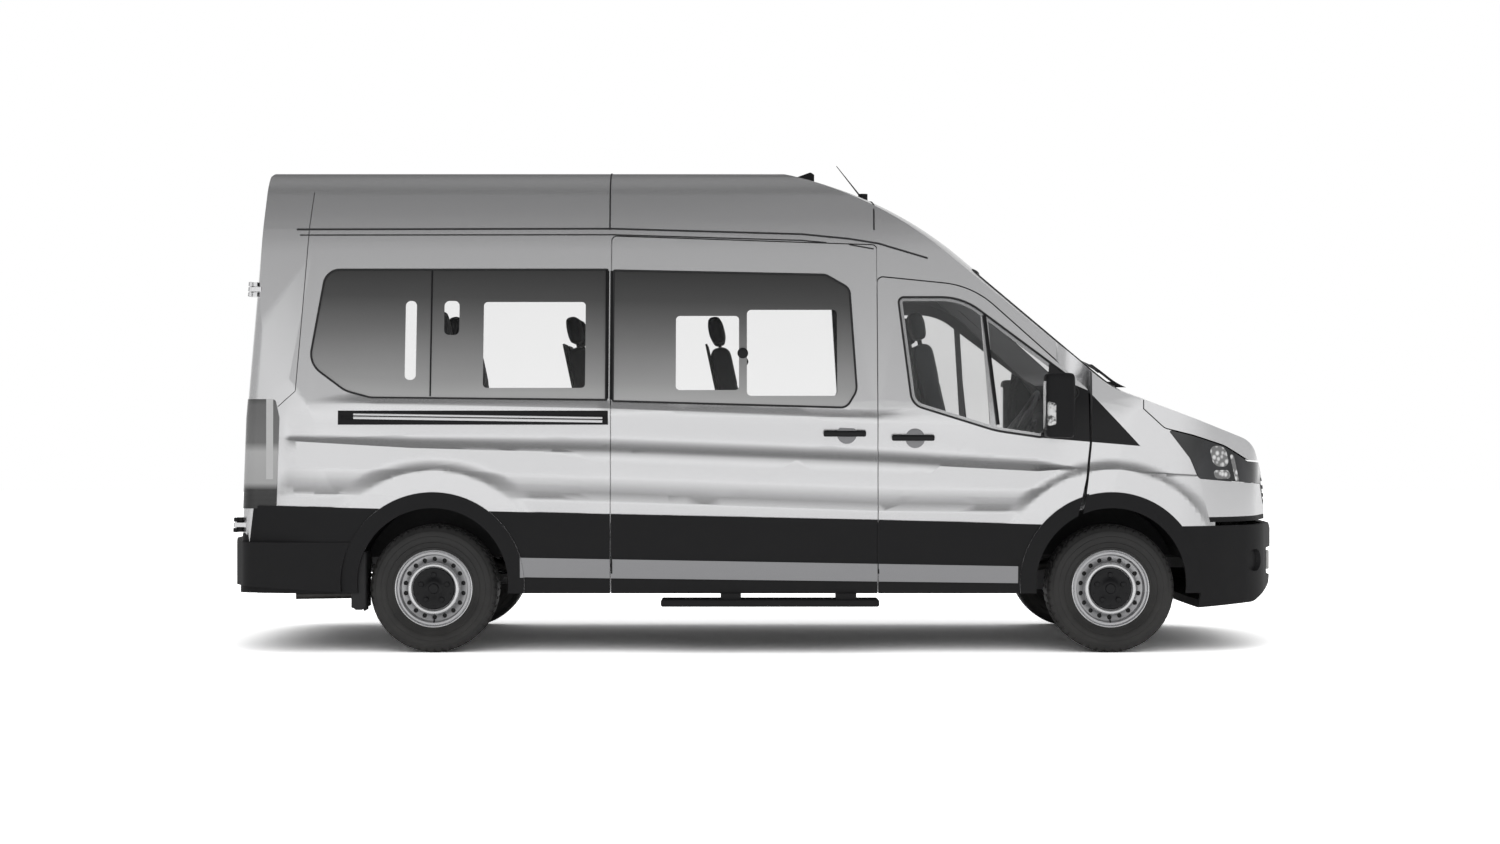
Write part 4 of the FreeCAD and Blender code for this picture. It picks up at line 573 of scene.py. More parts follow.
def lamp_material():
    """Dark headlamp glass with the bowls behind it drawn in its colour: bright metal whose facets carry
    painted reflections.
    """
    material, tree, shader = new_material("headlamp glass", {"Roughness": 0.06, "Coat Weight": 0.6})
    axes = object_axes(tree)
    across = calc(tree, "MULTIPLY_ADD", axes["Z"], 0.25, calc(tree, "SUBTRACT", axes["X"], 0.27))
    bright = panes_mask(tree, across, axes["Z"], LAMP_BOWLS)
    where = object_places(tree)
    facets = add(tree, "ShaderNodeTexVoronoi", {"Vector": where, "Scale": 34.0}).outputs["Distance"]
    # Painted reflections on the bowls: each facet bright at its middle and darker towards its edge.
    painted_bowl_reflection = ramp(tree, facets, ((0.05, 0.95), (0.35, 0.70), (0.55, 0.22)))
    noise = add(tree, "ShaderNodeTexNoise", {"Vector": where, "Scale": 5.0, "Detail": 1.0}).outputs[0]
    shade = ramp(tree, noise, ((0.40, (0.010, 0.011, 0.012)), (0.62, (0.030, 0.031, 0.034))))
    tree.links.new(mixed(tree, bright, shade, painted_bowl_reflection), shader.inputs["Base Color"])
    return material


def build_materials(look):
    """Every finish of the minibus, by name."""
    paint, plastic = tuple(look.paint), tuple(look.plastic)
    return {
        # name, colour, roughness, grain scale, grain spread, bump strength, metallic
        "paint": flaked("silver paint", paint, look.gloss, 1500.0, 0.16, 0.03, 0.9,
                        **{"Coat Weight": 0.5, "Coat Roughness": 0.08}),
        # The sill strip is silver paint made darker: painted shade of the strip's upward tilt.
        "strip": flaked("silver sill paint with painted shade", (0.34, 0.34, 0.35), 0.32, 1500.0, 0.14, 0.03, 0.85),
        # The handle dish is body paint made darker: painted shade of a recess that the skin does not have.
        "dish": flaked("handle dish with painted recess shade", (0.30, 0.30, 0.31), 0.35, 1500.0, 0.12, 0.03, 0.8),
        # The wheel's lip and hub ring are its steel painted lighter: painted highlight.
        "steel with painted highlight": flaked("wheel edges with painted highlight", (0.82, 0.82, 0.83), 0.24, 1400.0, 0.08, 0.03, 0.85),
        "rim": flaked("silver wheel steel", (0.55, 0.55, 0.56), 0.36, 1400.0, 0.12, 0.05, 0.75),
        # name, colour, roughness, grain scale, grain spread, bump strength, bump depth
        "plastic": grained("grained black plastic", plastic, 0.55, 900.0, 0.25, 0.35, 0.0005, dust=0.02,
                           **{"Specular IOR Level": 0.22}),
        "gloss black": grained("smooth black trim", BLACK, 0.30, 500.0, 0.1, 0.02,
                               **{"Specular IOR Level": 0.3}),
        "rubber": grained("window rubber", (0.018, 0.018, 0.019), 0.62, 800.0, 0.2, 0.1),
        "tyre": grained("tyre rubber", (0.012, 0.012, 0.0125), 0.50, 500.0, 0.3, 0.3, 0.0006, dust=0.12),
        "steel": grained("coated chassis steel", (0.030, 0.030, 0.032), 0.55, 160.0, 0.5, 0.4, 0.0008,
                         dust=0.25, Metallic=0.3),
        "exhaust": grained("exhaust steel", (0.055, 0.054, 0.053), 0.42, 60.0, 0.7, 0.2, 0.0006, dust=0.2,
                           Metallic=0.85),
        "engine": grained("cast engine metal", (0.16, 0.16, 0.165), 0.6, 220.0, 0.5, 0.5, 0.001, dust=0.2,
                          Metallic=0.6),
        "interior": grained("cabin plastic", (0.055, 0.056, 0.060), 0.62, 1000.0, 0.25, 0.3),
        "lining": grained("pale cabin lining", (0.20, 0.20, 0.205), 0.9, 900.0, 0.2, 0.3, 0.0005),
        "fabric": grained("woven seat cloth", (0.040, 0.042, 0.048), 0.92, 330.0, 0.7, 0.5, 0.0005,
                          group="cloth weave", **{"Sheen Weight": 0.25, "Sheen Roughness": 0.5}),
        "chrome": grained("bright lamp metal", (0.85, 0.85, 0.86), 0.12, 200.0, 0.04, 0.02, Metallic=1.0),
        "rail": grained("bright door rail", (0.80, 0.80, 0.81), 0.28, 300.0, 0.06, 0.05, Metallic=0.9),
        "plate": grained("blank plate", (0.72, 0.72, 0.70), 0.45, 500.0, 0.04, 0.05),
        "indicator": indicator_material(),
        "tail": tail_material(),
        "lamp": lamp_material(),
        "side glass": side_glass_material(look),
        "front glass": pane_material("door glass", (0.20, 0.205, 0.205), look.front_glass, 1.468),
        "screen": pane_material("laminated screen", (0.12, 0.13, 0.13), look.front_glass * 0.8),
        "rear glass": pane_material("dark rear glass", (0.035, 0.037, 0.038), 0.86),
    }


# ---------------------------------------------------------------- the pressed lines of the side

# Each row is one place along the body, in metres, and its columns are the heights of the shoulder, the
# groove's valley and crest, the low panel's top and foot, its lower crest and the top of the cladding.
PRESS = np.array((
    # x      shoulder valley crest  top    foot   edge   cladding
    (-2.660, 1.385, 1.212, 1.176, 1.030, 0.884, 0.860, 0.813),
    (-2.580, 1.385, 1.211, 1.172, 1.028, 0.883, 0.858, 0.811),
    (-1.890, 1.378, 1.207, 1.133, 1.012, 0.868, 0.846, 0.792),
    (-0.823, 1.352, 1.205, 1.105, 0.980, 0.842, 0.828, 0.769),
    (0.669, 1.292, 1.141, 1.051, 0.924, 0.789, 0.778, 0.737),
    (1.561, 1.246, 1.080, 1.005, 0.911, 0.781, 0.768, 0.713),
    (1.770, 1.232, 1.028, 1.020, 0.909, 0.779, 0.764, 0.709),
    (2.560, 1.180, 0.980, 0.970, 0.880, 0.770, 0.750, 0.700),
))
# Where the skin is cut above each column, as shares of the way up to the column before it.
PRESS_SHARES = ((), (0.0,), (0.0, 0.33, 0.66), (0.0, 0.25, 0.5, 0.75), (0.0, 0.5), (0.0, 0.3, 0.6, 0.85),
                (0.0,), (0.0,))
SHOULDER_RISE = 0.045
ARCH_HEIGHT = 0.385
# axle, radius of the swelling's crest and radius where it ends
ARCHES = ((AXLE_REAR, 0.625, 0.715), (AXLE_FRONT, 0.630, 0.695))


def between(low, high, x):
    """0 below low, 1 above high, and a smooth rise between them."""
    share = np.clip((x - low) / (high - low), 0.0, 1.0)
    return share * share * (3.0 - 2.0 * share)


def press_height(x, z, look):
    """How far the body side stands out of, or in from, its plain skin at (x, z), in metres."""
    shoulder, valley, crest, top, foot, edge, cladding = (
        np.interp(x, PRESS[:, 0], PRESS[:, column]) for column in range(1, 8))
    width = np.clip((valley - crest) / 0.07, 0.0, 1.0)
    groove = width * between(-2.625, -2.560, x)
    panel = between(-2.655, -2.600, x) * (1.0 - between(1.80, 1.86, x))
    ridge = look.shoulder * between(-2.42, -2.10, x) * (1.0 - between(0.66, 0.86, x))
    out = look.panel_out * panel
    # height on the side, how far it stands out there, power of the curve that leads to it from above
    stops = (
        (shoulder + SHOULDER_RISE, 0.0 * x, 1.0),
        (shoulder, ridge, 1.0),
        (valley, -look.groove * groove, 1.3),
        (crest, look.crest * groove, 2.0),
        (top, -look.panel_in * panel, 1.0),
        (foot, out, 1.8),
        (edge, out, 1.0),
        (cladding, out * 0.4, 1.0),
    )
    height = np.where(z < cladding, out * 0.4, 0.0)
    for (z_high, start, _), (z_low, end, power) in zip(stops, stops[1:]):
        inside = (z <= z_high) & (z > z_low)
        share = np.clip((z_high - z) / np.maximum(z_high - z_low, 1e-4), 0.0, 1.0) ** power
        height = np.where(inside, start + (end - start) * share, height)
    for axle, crest_r, outer_r in ARCHES:
        reach = np.hypot(x - axle, z - ARCH_HEIGHT)
        share = np.clip((outer_r - reach) / (outer_r - crest_r), 0.0, 1.0)
        height = height * (1.0 - share) + look.flare * share ** 1.7
    return height


def press_cuts():
    """The planes that let the skin turn along the pressed lines: (low x, high x, point, normal)."""
    cuts = []
    for first, second in zip(PRESS, PRESS[1:]):
        heads = [(first[1] + SHOULDER_RISE, second[1] + SHOULDER_RISE)]
        for column in range(1, 8):
            above = max(column - 1, 1)
            for share in PRESS_SHARES[column]:
                heads.append([row[column] + (row[above] - row[column]) * share for row in (first, second)])
        for low_end, high_end in heads:
            run = Vector((second[0] - first[0], 0.0, high_end - low_end)).normalized()
            cuts.append((first[0], second[0], (first[0], 0.0, low_end), (-run.z, 0.0, run.x)))
    return cuts


def press(piece, sign, look):
    """Cut a body-side skin along the pressed lines and move its outer face by their height."""
    editing(piece)
    reach = [piece.bound_box[k][0] for k in range(8)]
    low_x, high_x = min(reach), max(reach)

    def outer(place, normal):
        return normal.y * sign > 0.3 and place.z < 1.50

    def cut_across(places, wanted):
        for x in places:
            if low_x < x < high_x:
                cut(piece, (x, 0, 0), (1, 0, 0), wanted)
    cut_across(PRESS[1:-1, 0], outer)
    cut_across(np.arange(-2.58, 2.5, 0.10), outer)
    for first, second, place, normal in press_cuts():
        if second > low_x and first < high_x:
            cut(piece, place, normal, lambda p, n, a=first, b=second: outer(p, n) and a < p.x < b)
    for axle, _, _ in ARCHES:
        if low_x < axle + 0.75 and high_x > axle - 0.75:
            def near(place, normal, axle=axle):
                return outer(place, normal) and abs(place.x - axle) < 0.75 and 0.66 < place.z < 1.12
            cut_across(np.arange(axle - 0.72, axle + 0.721, 0.018), near)
            for z in np.arange(0.70, 1.12, 0.018):
                cut(piece, (0, 0, z), (0, 0, 1), near)
    done()
    mesh = piece.data
    count = len(mesh.vertices)
    places = np.empty(count * 3)
    mesh.vertices.foreach_get("co", places)
    places = places.reshape(-1, 3)
    moved = np.zeros(count, bool)
    for face in mesh.polygons:
        if face.normal.y * sign > 0.3:
            moved[list(face.vertices)] = True
    heights = press_height(places[:, 0], places[:, 2], look)
    places[moved, 1] += sign * heights[moved]
    mesh.vertices.foreach_set("co", places.ravel())
    mesh.update()


# ---------------------------------------------------------------- parts of the painted skins

# Core line of the cabin: faces that look away from it are outside, and the others are lining.
CORE_LOW, CORE_HIGH = Vector((-1.9, 0.0, 1.0)), Vector((1.0, 0.0, 1.6))

# The black corner panel between the door glass, the mirror and the scuttle, as X and Z corners.
CORNER = ((1.578, 1.190), (2.129, 1.144), (1.840, 1.452), (1.690, 1.515), (1.600, 1.500))
CORNER_EDGES = tuple(zip(CORNER, CORNER[1:] + CORNER[:1]))

# Height below which the rear doors' corners are black, how far out they begin, and the same height for
# the rear frame's sill and the front bumper.
BLACK_FOOT, BLACK_CORNER, BLACK_SILL, BLACK_BUMPER = 0.800, 0.86, 0.660, 0.748


def looks_in(place, normal):
    """Whether a face looks towards the core line."""
    core = Vector((min(max(place.x, CORE_LOW.x), CORE_HIGH.x), 0.0,
                   min(max(place.z, CORE_LOW.z), CORE_HIGH.z)))
    return (place - core).normalized().dot(normal) < -0.35


def in_corner(place, normal):
    """Whether a face looks outwards and lies in the black corner panel."""
    return abs(normal.y) > 0.3 and normal.y * place.y > 0 and all(
        (x1 - x0) * (place.z - z0) - (z1 - z0) * (place.x - x0) > -1e-6
        for (x0, z0), (x1, z1) in CORNER_EDGES)


# ---------------------------------------------------------------- sizes and colours

def length(name, description, default):
    return FloatProperty(name=name, description=description, default=default, unit="LENGTH")


def share(name, description, default):
    return FloatProperty(name=name, description=description, default=default, min=0.0, max=1.0)


def level(name, description, default):
    return FloatProperty(name=name, description=description, default=default, min=0.0)


def tint(name, description, default):
    return FloatVectorProperty(name=name, description=description, default=default, subtype="COLOR",
                               min=0.0, max=1.0)


class MinibusLook(bpy.types.PropertyGroup):
    """Finishes and pressed depths of the bodywork."""
    paint: tint("Paint", "Colour of the body paint", (0.80, 0.80, 0.81))
    gloss: share("Paint roughness", "Roughness of the body paint", 0.25)
    plastic: tint("Cladding", "Colour of the black cladding", (0.011, 0.011, 0.012))
    shoulder: length("Shoulder", "Height of the fold below the windows", 0.008)
    groove: length("Groove", "Depth of the long groove", 0.012)
    crest: length("Crest", "Height of the ridge below the groove", 0.007)
    panel_in: length("Low panel top", "Depth of the low panel's top edge", 0.006)
    panel_out: length("Low panel foot", "Height of the low panel's foot", 0.012)
    flare: length("Wheel arch", "Height of the swelling round each arch", 0.013)
    clear_cover: share("Clear pane cover", "How much a clear pane hides", 0.05)
    front_glass: share("Door glass cover", "How much the front glass hides", 0.13)
    far_spread: level("Left pane scale", "Size of the left panes over the right", 1.139)


class MinibusSizes(bpy.types.PropertyGroup):
    """Sizes of the added pieces."""
    seal: length("Seal", "Radius of the window seals", 0.006)
    handle: length("Handle", "Length of a door handle", 0.235)
    tread_steps: IntProperty(name="Tread steps", description="Divisions round a tyre", default=144, min=48)
    voxel: length("Cushion voxel", "Voxel size of the seat cushions", 0.020)
    plump: length("Cushion swell", "Most that a cushion may swell", 0.014)


class MinibusStudio(bpy.types.PropertyGroup):
    """Camera, floor and light."""
    eye: FloatVectorProperty(name="Camera", description="Place of the camera", subtype="TRANSLATION",
                             unit="LENGTH", default=EYE)
    lens: level("Lens", "Focal length in millimetres", 58.2)
    floor_size: length("Floor", "Side of the floor", 60.0)
    floor_shade: share("Floor shade", "Level of the floor's own colour, as the objects see it", 0.95)
    floor_gain: level("Floor level", "Level of the floor's own colour, as the camera sees it", 2.0)
    sky_low: level("Bright horizon", "Level of the studio round the horizon", 1.0)
    sky_high: level("Dark top", "Level of the studio overhead, as paint sees it", 0.13)
    ends: level("Dark ends", "Level of the studio fore and aft, as paint sees it", 0.45)
    fill: level("Fill", "Level of the studio on matt surfaces", 0.42)
    lamp: level("Overhead lamp", "Strength of the wide soft lamp overhead", 1.5)
    lamp_width: level("Lamp width", "Angle that the lamp fills, in degrees", 105.0)
    lamp_tilt: level("Lamp tilt", "Turn of the lamp towards the camera, in degrees", 18.0)


# ---------------------------------------------------------------- operators, one for each group

class MINIBUS_OT_stage(bpy.types.Operator):
    """Set the camera, the pale floor and the soft studio light"""
    bl_idname = "minibus.stage"
    bl_label = "Studio"

    def execute(self, context):
        studio = context.scene.minibus_studio
        objects = context.scene.collection.objects
        camera = bpy.data.objects.new("camera", bpy.data.cameras.new("camera"))
        objects.link(camera)
        camera.location = studio.eye
        camera.rotation_euler = (math.pi / 2, 0, 0)
        camera.data.lens = studio.lens
        camera.data.sensor_width = 36
        camera.data.clip_end = 200
        context.scene.camera = camera
        self.floor(studio)
        context.scene.world = self.room(studio)
        lamp = bpy.data.objects.new("overhead_lamp", bpy.data.lights.new("overhead_lamp", "SUN"))
        objects.link(lamp)
        lamp.data.angle = math.radians(studio.lamp_width)
        lamp.data.energy = studio.lamp
        lamp.location = (0.0, -2.5, 6.5)
        lamp.rotation_euler = (math.radians(studio.lamp_tilt), 0, 0)
        lamp.visible_glossy = False
        context.scene.view_settings.view_transform = "Standard"
        return {"FINISHED"}

    def seen(self, tree, path):
        """1 for what the camera sees, directly or through glass."""
        return calc(tree, "MAXIMUM", path["Is Camera Ray"], path["Is Transmission Ray"])

    def floor(self, studio):
        """A floor that looks white and lights the objects as a pale one."""
        deselect()
        bpy.ops.mesh.primitive_plane_add(size=studio.floor_size)
        floor = bpy.context.object
        floor.name = "floor_stage"
        material, tree, shader = new_material("pale studio floor",
                                              {"Roughness": 0.9, "Specular IOR Level": 0.0})
        seen = self.seen(tree, add(tree, "ShaderNodeLightPath").outputs)
        shade = mixed(tree, seen, (studio.floor_shade,) * 3, (studio.floor_gain,) * 3)
        tree.links.new(shade, shader.inputs["Base Color"])
        floor.data.materials.append(material)

    def room(self, studio):
        """White as the camera sees it, plain on matt surfaces, and banded in what gloss shows."""
        world = bpy.data.worlds.new("studio")
        world.use_nodes = True
        tree = world.node_tree
        way = add(tree, "ShaderNodeSeparateXYZ",
                  {"Vector": add(tree, "ShaderNodeTexCoord").outputs["Generated"]}).outputs
        low, high = studio.sky_low, studio.sky_high
        sky = ramp(tree, way["Z"], ((0.0, low), (0.10, low), (0.20, low * 0.72), (0.34, low * 0.30),
                                    (0.46, high), (0.75, high), (1.0, high * 1.6)))
        ends = ramp(tree, calc(tree, "ABSOLUTE", way["X"]), ((0.30, 1.0), (0.62, 0.78), (0.85, studio.ends)))
        path = add(tree, "ShaderNodeLightPath").outputs
        room = mixed(tree, 1.0, sky, ends, "MULTIPLY")
        room = mixed(tree, path["Is Diffuse Ray"], room, (studio.fill,) * 3)
        room = mixed(tree, self.seen(tree, path), room, (1.0, 1.0, 1.0))
        tree.links.new(room, tree.nodes["Background"].inputs["Color"])
        return world


class MINIBUS_OT_materials(bpy.types.Operator):
    """Build the shared effects and every finish"""
    bl_idname = "minibus.materials"
    bl_label = "Finishes"

    def execute(self, context):
        build_groups()
        MADE.update(build_materials(context.scene.minibus_look))
        return {"FINISHED"}


class MINIBUS_OT_bodywork(bpy.types.Operator):
    """Make the painted skins with their pressed lines and inner lining"""
    bl_idname = "minibus.bodywork"
    bl_label = "Bodywork"

    # node, sides with pressed lines, body
    SKINS = (("side_wall_right", (-1,), "body"), ("side_wall_left", (1,), "body"),
             ("sliding_door", (-1,), "body"), ("front_door_right", (-1,), "front_door_right"),
             ("front_door_left", (1,), "front_door_left"), ("fenders", (-1, 1), "body"),
             ("rear_frame", (-1, 1), "body"), ("roof", (), "body"), ("cab_frame", (), "body"),
             ("bonnet", (), "bonnet"), ("rear_door_left", (), "rear_door_left"),
             ("rear_door_right", (), "rear_door_right"))

    def execute(self, context):
        for node, signs, body in self.SKINS:
            piece = copied(node, node + "_skin")
            for sign in signs:
                press(piece, sign, context.scene.minibus_look)
            if node.startswith("rear_door"):
                editing(piece)
                cut(piece, (0, 0, BLACK_FOOT), (0, 0, 1))
                for y in (-BLACK_CORNER, BLACK_CORNER):
                    cut(piece, (0, y, 0), (0, 1, 0), lambda p, n: p.z < BLACK_FOOT)
                done()
            self.coat(piece, node, body)
        return {"FINISHED"}

    def coat(self, piece, node, body):
        """Paint outside, lining inside, and black where the skin is black."""
        cornered = node in ("front_door_left", "front_door_right", "fenders", "cab_frame")
        if cornered:
            editing(piece)
            for (x0, z0), (x1, z1) in CORNER_EDGES:
                run = Vector((x1 - x0, 0.0, z1 - z0)).normalized()
                cut(piece, (x0, 0, z0), (-run.z, 0.0, run.x),
                    lambda p, n: abs(n.y) > 0.3 and 1.45 < p.x < 2.3 and 1.0 < p.z < 1.6)
            done()
        finish_piece(piece, body, "paint", 28.0)
        paint_faces(piece, "lining", looks_in)
        if cornered:
            paint_faces(piece, "gloss black", in_corner)
        if node.startswith("rear_door"):
            paint_faces(piece, "plastic", lambda p, n: abs(p.y) > BLACK_CORNER and p.z < BLACK_FOOT)
        if node == "rear_frame":
            paint_faces(piece, "plastic", lambda p, n: p.z < BLACK_SILL)
        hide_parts(node)


class MINIBUS_OT_plastics(bpy.types.Operator):
    """Give the bumpers, cladding and trims their two tones and grain"""
    bl_idname = "minibus.plastics"
    bl_label = "Bumpers and cladding"

    # The bright sill strip, whose paint is darker than the body's as painted shade of its upward tilt: where
    # its edges start, their heights there and slopes, and its ends in X.
    STRIP_START = -2.30
    STRIP_EDGES = ((0.545, -0.0172), (0.432, -0.0121))
    STRIP_ENDS = (-1.30, 1.45)
    # Two opposite corners of the left mud flap's thick part, whose foot is then narrowed.
    FLAP = ((-2.238, 0.790, 0.236), (-2.154, 0.985, 0.560))

    def execute(self, context):
        dress("plastic", "grille", "rear_bumper", "side_step", "wipers", "antennas", "door_track")
        for side, _ in SIDES:
            self.mirror(side)
        bumper = copied("front_bumper", "front_bumper_skin")
        editing(bumper)
        cut(bumper, (0, 0, BLACK_BUMPER), (0, 0, 1))
        done()
        finish_piece(bumper, "body", "paint", 30.0)
        paint_faces(bumper, "plastic", lambda p, n: p.z < BLACK_BUMPER)
        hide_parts("front_bumper")
        for node, body in (("side_cladding", "body"), ("front_door_trim_left", "front_door_left"),
                           ("front_door_trim_right", "front_door_right")):
            self.cladding(node, body)
        (x0, y0, z0), (x1, y1, z1) = self.FLAP
        for side, sign in SIDES:
            flap = block("mud_flap_" + side, (x0, y0 * sign, z0), (x1, y1 * sign, z1), 0.014)
            editing(flap)
            pick_faces(flap, lambda p, n: n.z < -0.5)
            bpy.ops.transform.resize(value=(0.6, 1, 1))
            done()
            finish_piece(flap, "body", "rubber", 35.0)
        return {"FINISHED"}

    def mirror(self, side):
        """The mirror's rounded housing, with its glass facing the driver."""
        housing = copied("mirror_" + side, "mirror_skin_" + side)
        low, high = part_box("mirror_" + side)
        middle = (low.z + high.z) / 2
        apply(housing, "REMESH", mode="VOXEL", voxel_size=0.008)
        apply(housing, "SMOOTH", factor=0.8, iterations=14)
        finish_piece(housing, "front_door_" + side, "plastic", 40.0)
        paint_faces(housing, "chrome", lambda p, n: n.x < -0.93 and p.x < low.x + 0.03
                    and abs(p.y) > 1.075 and abs(p.z - middle) < 0.135)
        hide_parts("mirror_" + side)

    def cladding(self, node, body):
        """Black cladding without its plain handles, which are made again in full, and with the strip."""
        piece = copied(node, node + "_skin")
        editing(piece)
        if pick_faces(piece, lambda p, n: p.z > 1.08):
            bpy.ops.mesh.delete(type="FACE")
        planes = [((self.STRIP_START, 0, height), (-slope, 0, 1)) for height, slope in self.STRIP_EDGES]
        planes += [((x, 0, 0), (1, 0, 0)) for x in self.STRIP_ENDS]
        for place, normal in planes:
            cut(piece, place, normal,
                lambda p, n: abs(p.y) > 0.9 and abs(n.y) > 0.3 and 0.30 < p.z < 0.70 and -1.6 < p.x < 1.75)
        done()
        finish_piece(piece, body, "plastic", 30.0)
        # The strip's faces get the darker silver, which is painted shade of its tilt.
        paint_faces(piece, "strip", self.in_strip)
        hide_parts(node)

    def in_strip(self, place, normal):
        top, foot = (height + slope * (place.x - self.STRIP_START) for height, slope in self.STRIP_EDGES)
        return (abs(place.y) > 0.93 and abs(normal.y) > 0.3 and foot - 0.002 < place.z < top + 0.002
                and self.STRIP_ENDS[0] < place.x < self.STRIP_ENDS[1])


class MINIBUS_OT_glazing(bpy.types.Operator):
    """Finish the panes and lay a rubber seal round each"""
    bl_idname = "minibus.glazing"
    bl_label = "Glass and seals"

    # node, finish, body, way that its outer face looks
    PANES = (("side_glass", "side glass", "body", (0, 1, 0)),
             ("front_door_glass_left", "front glass", "front_door_left", (0, 1, 0)),
             ("front_door_glass_right", "front glass", "front_door_right", (0, 1, 0)),
             ("rear_glass_left", "rear glass", "rear_door_left", (-1, 0, 0)),
             ("rear_glass_right", "rear glass", "rear_door_right", (-1, 0, 0)),
             ("windscreen", "screen", "body", (1, 0, 0)))
    # The upright bar that parts the door glass from its fixed quarter pane, as X and Z.
    DIVIDER = ((1.270, 1.870), (1.340, 1.262))

    def execute(self, context):
        for node, finish, body, out in self.PANES:
            dress(finish, node)
            self.seal(node, body, Vector(out), context.scene.minibus_sizes.seal)
            if node.startswith("front_door"):
                sign = 1 if node.endswith("left") else -1
                lay(node + "_divider", on_skin((node,), along(self.DIVIDER, 0.08), sign, off=0.001), 0.011,
                    "gloss black", body, degrees=50.0)
        return {"FINISHED"}

    def seal(self, node, body, out, radius):
        """A rubber tube along the border of the pane's outer face."""
        piece = copied(node, node + "_seal")
        editing(piece)

        def inner(place, normal):
            way = -out if out.y and place.y <= 0 else out
            return normal.dot(way) < 0.35
        if pick_faces(piece, inner):
            bpy.ops.mesh.delete(type="FACE")
        bpy.ops.mesh.select_all(action="SELECT")
        bpy.ops.mesh.dissolve_limited(angle_limit=math.radians(1))
        bpy.ops.mesh.select_all(action="DESELECT")
        bpy.ops.mesh.select_mode(type="EDGE")
        bpy.ops.mesh.select_non_manifold(extend=False, use_wire=False, use_boundary=True,
                                         use_multi_face=False, use_non_contiguous=False, use_verts=False)
        bpy.ops.mesh.select_all(action="INVERT")
        bpy.ops.mesh.delete(type="EDGE")
        bpy.ops.mesh.select_all(action="SELECT")
        bpy.ops.mesh.delete(type="ONLY_FACE")
        bpy.ops.mesh.select_mode(type="VERT")
        done()
        finish_piece(rounded(piece, radius, 2), body, "rubber", 50.0)


class MINIBUS_OT_seams(bpy.types.Operator):
    """Draw the seams, gutters and pane joints that the panels show, and the door rail"""
    bl_idname = "minibus.seams"
    bl_label = "Seams and rail"

    WALLS = ("rear_frame", "side_wall_right", "side_wall_left", "roof")
    # name, radius, corners as X and Z, skins that carry the line
    LINES = (
        ("pillar_seam", 0.0022, ((-2.468, 2.560), (-2.488, 2.372), (-2.520, 1.850), (-2.546, 1.448),
                                 (-2.646, 1.362)), WALLS),
        ("gutter_top", 0.0058, ((-2.560, 2.352), (-0.800, 2.356), (0.260, 2.325), (0.525, 2.299),
                                (0.689, 2.272), (0.960, 2.190)), (*WALLS, "cab_frame")),
        ("gutter_foot", 0.0042, ((-2.540, 2.320), (-0.800, 2.322), (0.260, 2.290), (0.525, 2.266),
                                 (0.660, 2.242)), (*WALLS, "sliding_door", "cab_frame")),
    )
    # name, radius, X, low Z and high Z on the side glass
    PANE_LINES = (("pane_joint", 0.0045, -1.799, 1.420, 2.118), ("pane_pillar", 0.0100, -0.823, 1.406, 2.118),
                  ("pane_gap", 0.0085, -0.799, 1.400, 2.118))
    # X of the sliding door's ends, whose seams run over the roof and down the cladding
    DOOR_ENDS = (-0.798, 0.676)
    # X and Z of the sliding pane's latch, and X at which the glass is read for it
    LATCH = (-0.070, 1.659, -0.180)

    def execute(self, context):
        for side, sign in SIDES:
            for name, radius, rows, skins in self.LINES:
                lay("%s_%s" % (name, side), on_skin(skins, along(rows, 0.06), sign), radius)
            for name, radius, x, low, high in self.PANE_LINES:
                points = on_skin(("side_glass",), along(((x, low), (x, high)), 0.08), sign, back=0.03)
                lay("%s_%s" % (name, side), points, radius, "gloss black")
        for number, x in enumerate(self.DOOR_ENDS):
            self.hoop("roof_seam_%d" % number, x)
            points = [(x + 0.004, skin_y(("side_cladding", "sliding_door"), x - 0.040, z, -1) + 0.003, z)
                      for z in (0.440, 0.500, 0.560, 0.620, 0.680, 0.720)]
            lay("cladding_joint_%d" % number, points, 0.0060, "gloss black")
        self.rail()
        self.rear_joint()
        for side, sign in SIDES:
            x, z, glass_x = self.LATCH
            y = skin_y(("side_glass",), glass_x, z, sign)
            latch = drum("pane_latch_" + side, (x, y, z), 0.030, 0.010, 0.003, 32)
            finish_piece(latch, "body", "gloss black", 40.0)
        return {"FINISHED"}

    def rear_joint(self):
        """The rubber that closes the gap where the rear doors meet."""
        points = []
        for z in np.arange(0.72, 2.49, 0.04):
            hits = strike(("rear_door_left",), (-3.4, 0.045, z), (1, 0, 0))
            points += [(hit.x + 0.014, 0.0, z) for hit in hits if hit.x < -2.5]
        lay("rear_door_rubber", points, 0.0095, body="rear_door_left")

    def hoop(self, name, x):
        """A thin seam over the roof from one side's door top to the other's."""
        middle = Vector((x - 0.014, 0.0, 2.0))
        skins = ("roof", "side_wall_left", "side_wall_right", "cab_frame")
        first, last, steps = 22, 158, 60
        points = []
        for step in range(steps + 1):
            angle = math.radians(first + (last - first) * step / steps)
            way = Vector((0.0, math.cos(angle), math.sin(angle)))
            hits = [hit for hit in strike(skins, middle + way * 2.0, -way) if hit.z > 2.10]
            if hits:
                points.append(max(hits, key=lambda p: (p - middle).length))
        lay(name, points, 0.0045)

    def rail(self):
        """The two bright runners of the sliding door's track, between its black ends."""
        low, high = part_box("door_track")
        slope = -0.0145
        for number, (foot, head) in enumerate(((-0.0175, -0.0015), (0.0030, 0.0150))):
            run = block("track_runner_%d" % number, (low.x + 0.085, low.y - 0.0010, foot),
                        (high.x - 0.030, low.y + 0.0080, head), 0.0020, 2)
            for vertex in run.data.vertices:
                vertex.co.z += (low.z + high.z) / 2 + slope * (vertex.co.x - (low.x + high.x) / 2)
            finish_piece(run, "body", "rail", 35.0)


